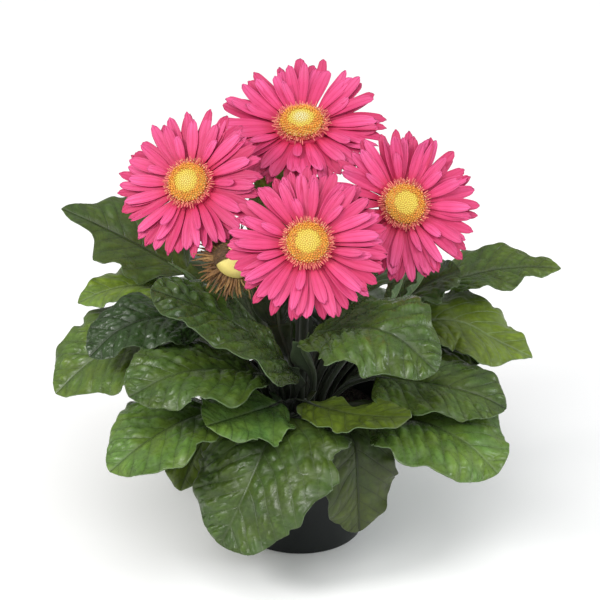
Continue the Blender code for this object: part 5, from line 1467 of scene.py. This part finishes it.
def soil():
    """The peat's surface, with loose crumbs on it."""
    inner_slope = (POT_COLLAR_RADIUS - POT_STEP - POT_FOOT_RADIUS) / (POT_HEIGHT - POT_COLLAR_DROP)
    edge = POT_FOOT_RADIUS - POT_WALL - SOIL_RIM_GAP + inner_slope * (SOIL_TOP - SOIL_SINK)
    rings = []
    for i in range(SOIL_RINGS + 1):
        radius = edge * (1.0 - i / SOIL_RINGS) + 0.05
        for k in range(SOIL_SIDES):
            angle = math.tau * k / SOIL_SIDES
            x, y = radius * math.cos(angle), radius * math.sin(angle)
            rings.append((x, y, soil_height(x, y)))
    bottom = [(0.92 * x, 0.92 * y, SOIL_TOP - SOIL_DEPTH) for x, y, _ in rings[:SOIL_SIDES]]
    shape = Shape()
    shape.add(bottom + rings, tube_faces(SOIL_RINGS + 2, SOIL_SIDES))
    made = shape.make("peat", [SOIL_PEAT], "soil")
    draw = random.Random(5)
    crumbs = Shape()
    for _ in range(SOIL_CRUMBS):
        out, angle = edge * math.sqrt(draw.random()) * 0.97, draw.uniform(0.0, math.tau)
        x, y = out * math.cos(angle), out * math.sin(angle)
        radius = draw.uniform(*CRUMB_SIZES) * (1.0 if out > 28 else 0.6)
        grain(crumbs, Vector((x, y, soil_height(x, y) + 0.2 * radius)), radius)
    crumbs.make("peat_crumbs", [SOIL_PEAT])
    return made


# Setting

def stage():
    """A pale floor, a soft key light from the upper left, a fill from the right and a bright sky."""
    mesh = bpy.data.meshes.new("floor")
    half = FLOOR_HALF
    mesh.from_pydata([(-half, -half, 0), (half, -half, 0), (half, half, 0), (-half, half, 0)], [],
                     [(0, 1, 2, 3)])
    mesh.materials.append(finish(new_material("pale_floor")[0], (0.95, 0.95, 0.95, 1.0), 0.9, specular=0.1))
    floor = bpy.data.objects.new("floor", mesh)
    bpy.context.scene.collection.objects.link(floor)
    sun = bpy.data.lights.new("key", "SUN")
    sun.angle = math.radians(KEY_SPREAD)
    sun.energy = KEY_STRENGTH
    sun.color = (1.0, 0.99, 0.97)
    lamp = bpy.data.objects.new("key", sun)
    lamp.rotation_euler = Vector(KEY_DIRECTION).to_track_quat("-Z", "Y").to_euler()
    bpy.context.scene.collection.objects.link(lamp)
    for name, place, size, power, colour in SOFT_LIGHTS:
        light = bpy.data.lights.new(name, "AREA")
        light.shape = "DISK"
        light.size = size
        light.energy = power
        light.color = colour
        lamp = bpy.data.objects.new(name, light)
        lamp.location = place
        aim = Vector(SOFT_LIGHT_AIM) - Vector(place)
        lamp.rotation_euler = aim.to_track_quat("-Z", "Y").to_euler()
        bpy.context.scene.collection.objects.link(lamp)
    world = bpy.data.worlds.new("studio")
    world.use_nodes = True
    sky = world.node_tree.nodes["Background"]
    sky.inputs["Color"].default_value = (1.0, 1.0, 1.0, 1.0)
    sky.inputs["Strength"].default_value = SKY_STRENGTH
    bpy.context.scene.world = world


def camera():
    lens = bpy.data.cameras.new("camera")
    lens.lens = CAMERA_LENS
    lens.sensor_width = CAMERA_SENSOR
    lens.clip_start = 0.05
    eye = bpy.data.objects.new("camera", lens)
    pitch = math.radians(CAMERA_PITCH)
    eye.location = Vector((0.0, -CAMERA_DISTANCE * math.cos(pitch),
                           CAMERA_AIM + CAMERA_DISTANCE * math.sin(pitch))) * MM
    eye.rotation_euler = (math.pi / 2 - pitch, 0.0, 0.0)
    bpy.context.scene.collection.objects.link(eye)
    bpy.context.scene.camera = eye
    bpy.context.scene.view_settings.view_transform = "Standard"


UPPER_GREEN = leaf_material("upper_green", (0.042, 0.090, 0.022), (0.070, 0.104, 0.009),
                            (0.150, 0.210, 0.090), 0.38)
UPPER_DOWNY = leaf_material("upper_downy", (0.120, 0.190, 0.070), (0.170, 0.240, 0.080),
                            (0.260, 0.330, 0.160), 0.62)
UNDERSIDE = underside_material()
STALK_GREEN = stem_material("stalk_green", (0.110, 0.180, 0.050), (0.060, 0.110, 0.028),
                            (0.110, 0.085, 0.040))
SCAPE_GREEN = stem_material("scape_downy", (0.150, 0.225, 0.075), (0.085, 0.145, 0.040),
                            (0.130, 0.130, 0.060))
PETAL_PINK = petal_material("petal_pink", (0.600, 0.028, 0.090), (0.690, 0.058, 0.200),
                            (0.765, 0.120, 0.330), (0.450, 0.012, 0.070))
FRINGE_SALMON = floret_material("floret_salmon", (0.620, 0.090, 0.060), (0.850, 0.250, 0.200))
POLLEN_CREAM = floret_material("pollen_cream", (0.780, 0.480, 0.120), (0.860, 0.660, 0.280))
DISC_YELLOW = disc_material("disc_florets", (0.690, 0.550, 0.078), (0.860, 0.370, 0.050),
                            (0.620, 0.180, 0.060), (0.680, 0.650, 0.330))
DOME_PALE = dome_material("dome_pale", (0.800, 0.700, 0.220), (0.690, 0.560, 0.140), (0.420, 0.330, 0.090))
WITHERED_BROWN = withered_material()
POT_PLASTIC = pot_material()
SOIL_PEAT = soil_material()

camera()
stage()
pot()
soil()
for row in LEAVES:
    leaf_piece(row)
for flower in FLOWERS:
    scape(flower)
    rays(flower)
    fringe(flower)
    pollen(flower)
    disc(flower)
scape(SPENT)
withered_florets(SPENT)
dome(SPENT)
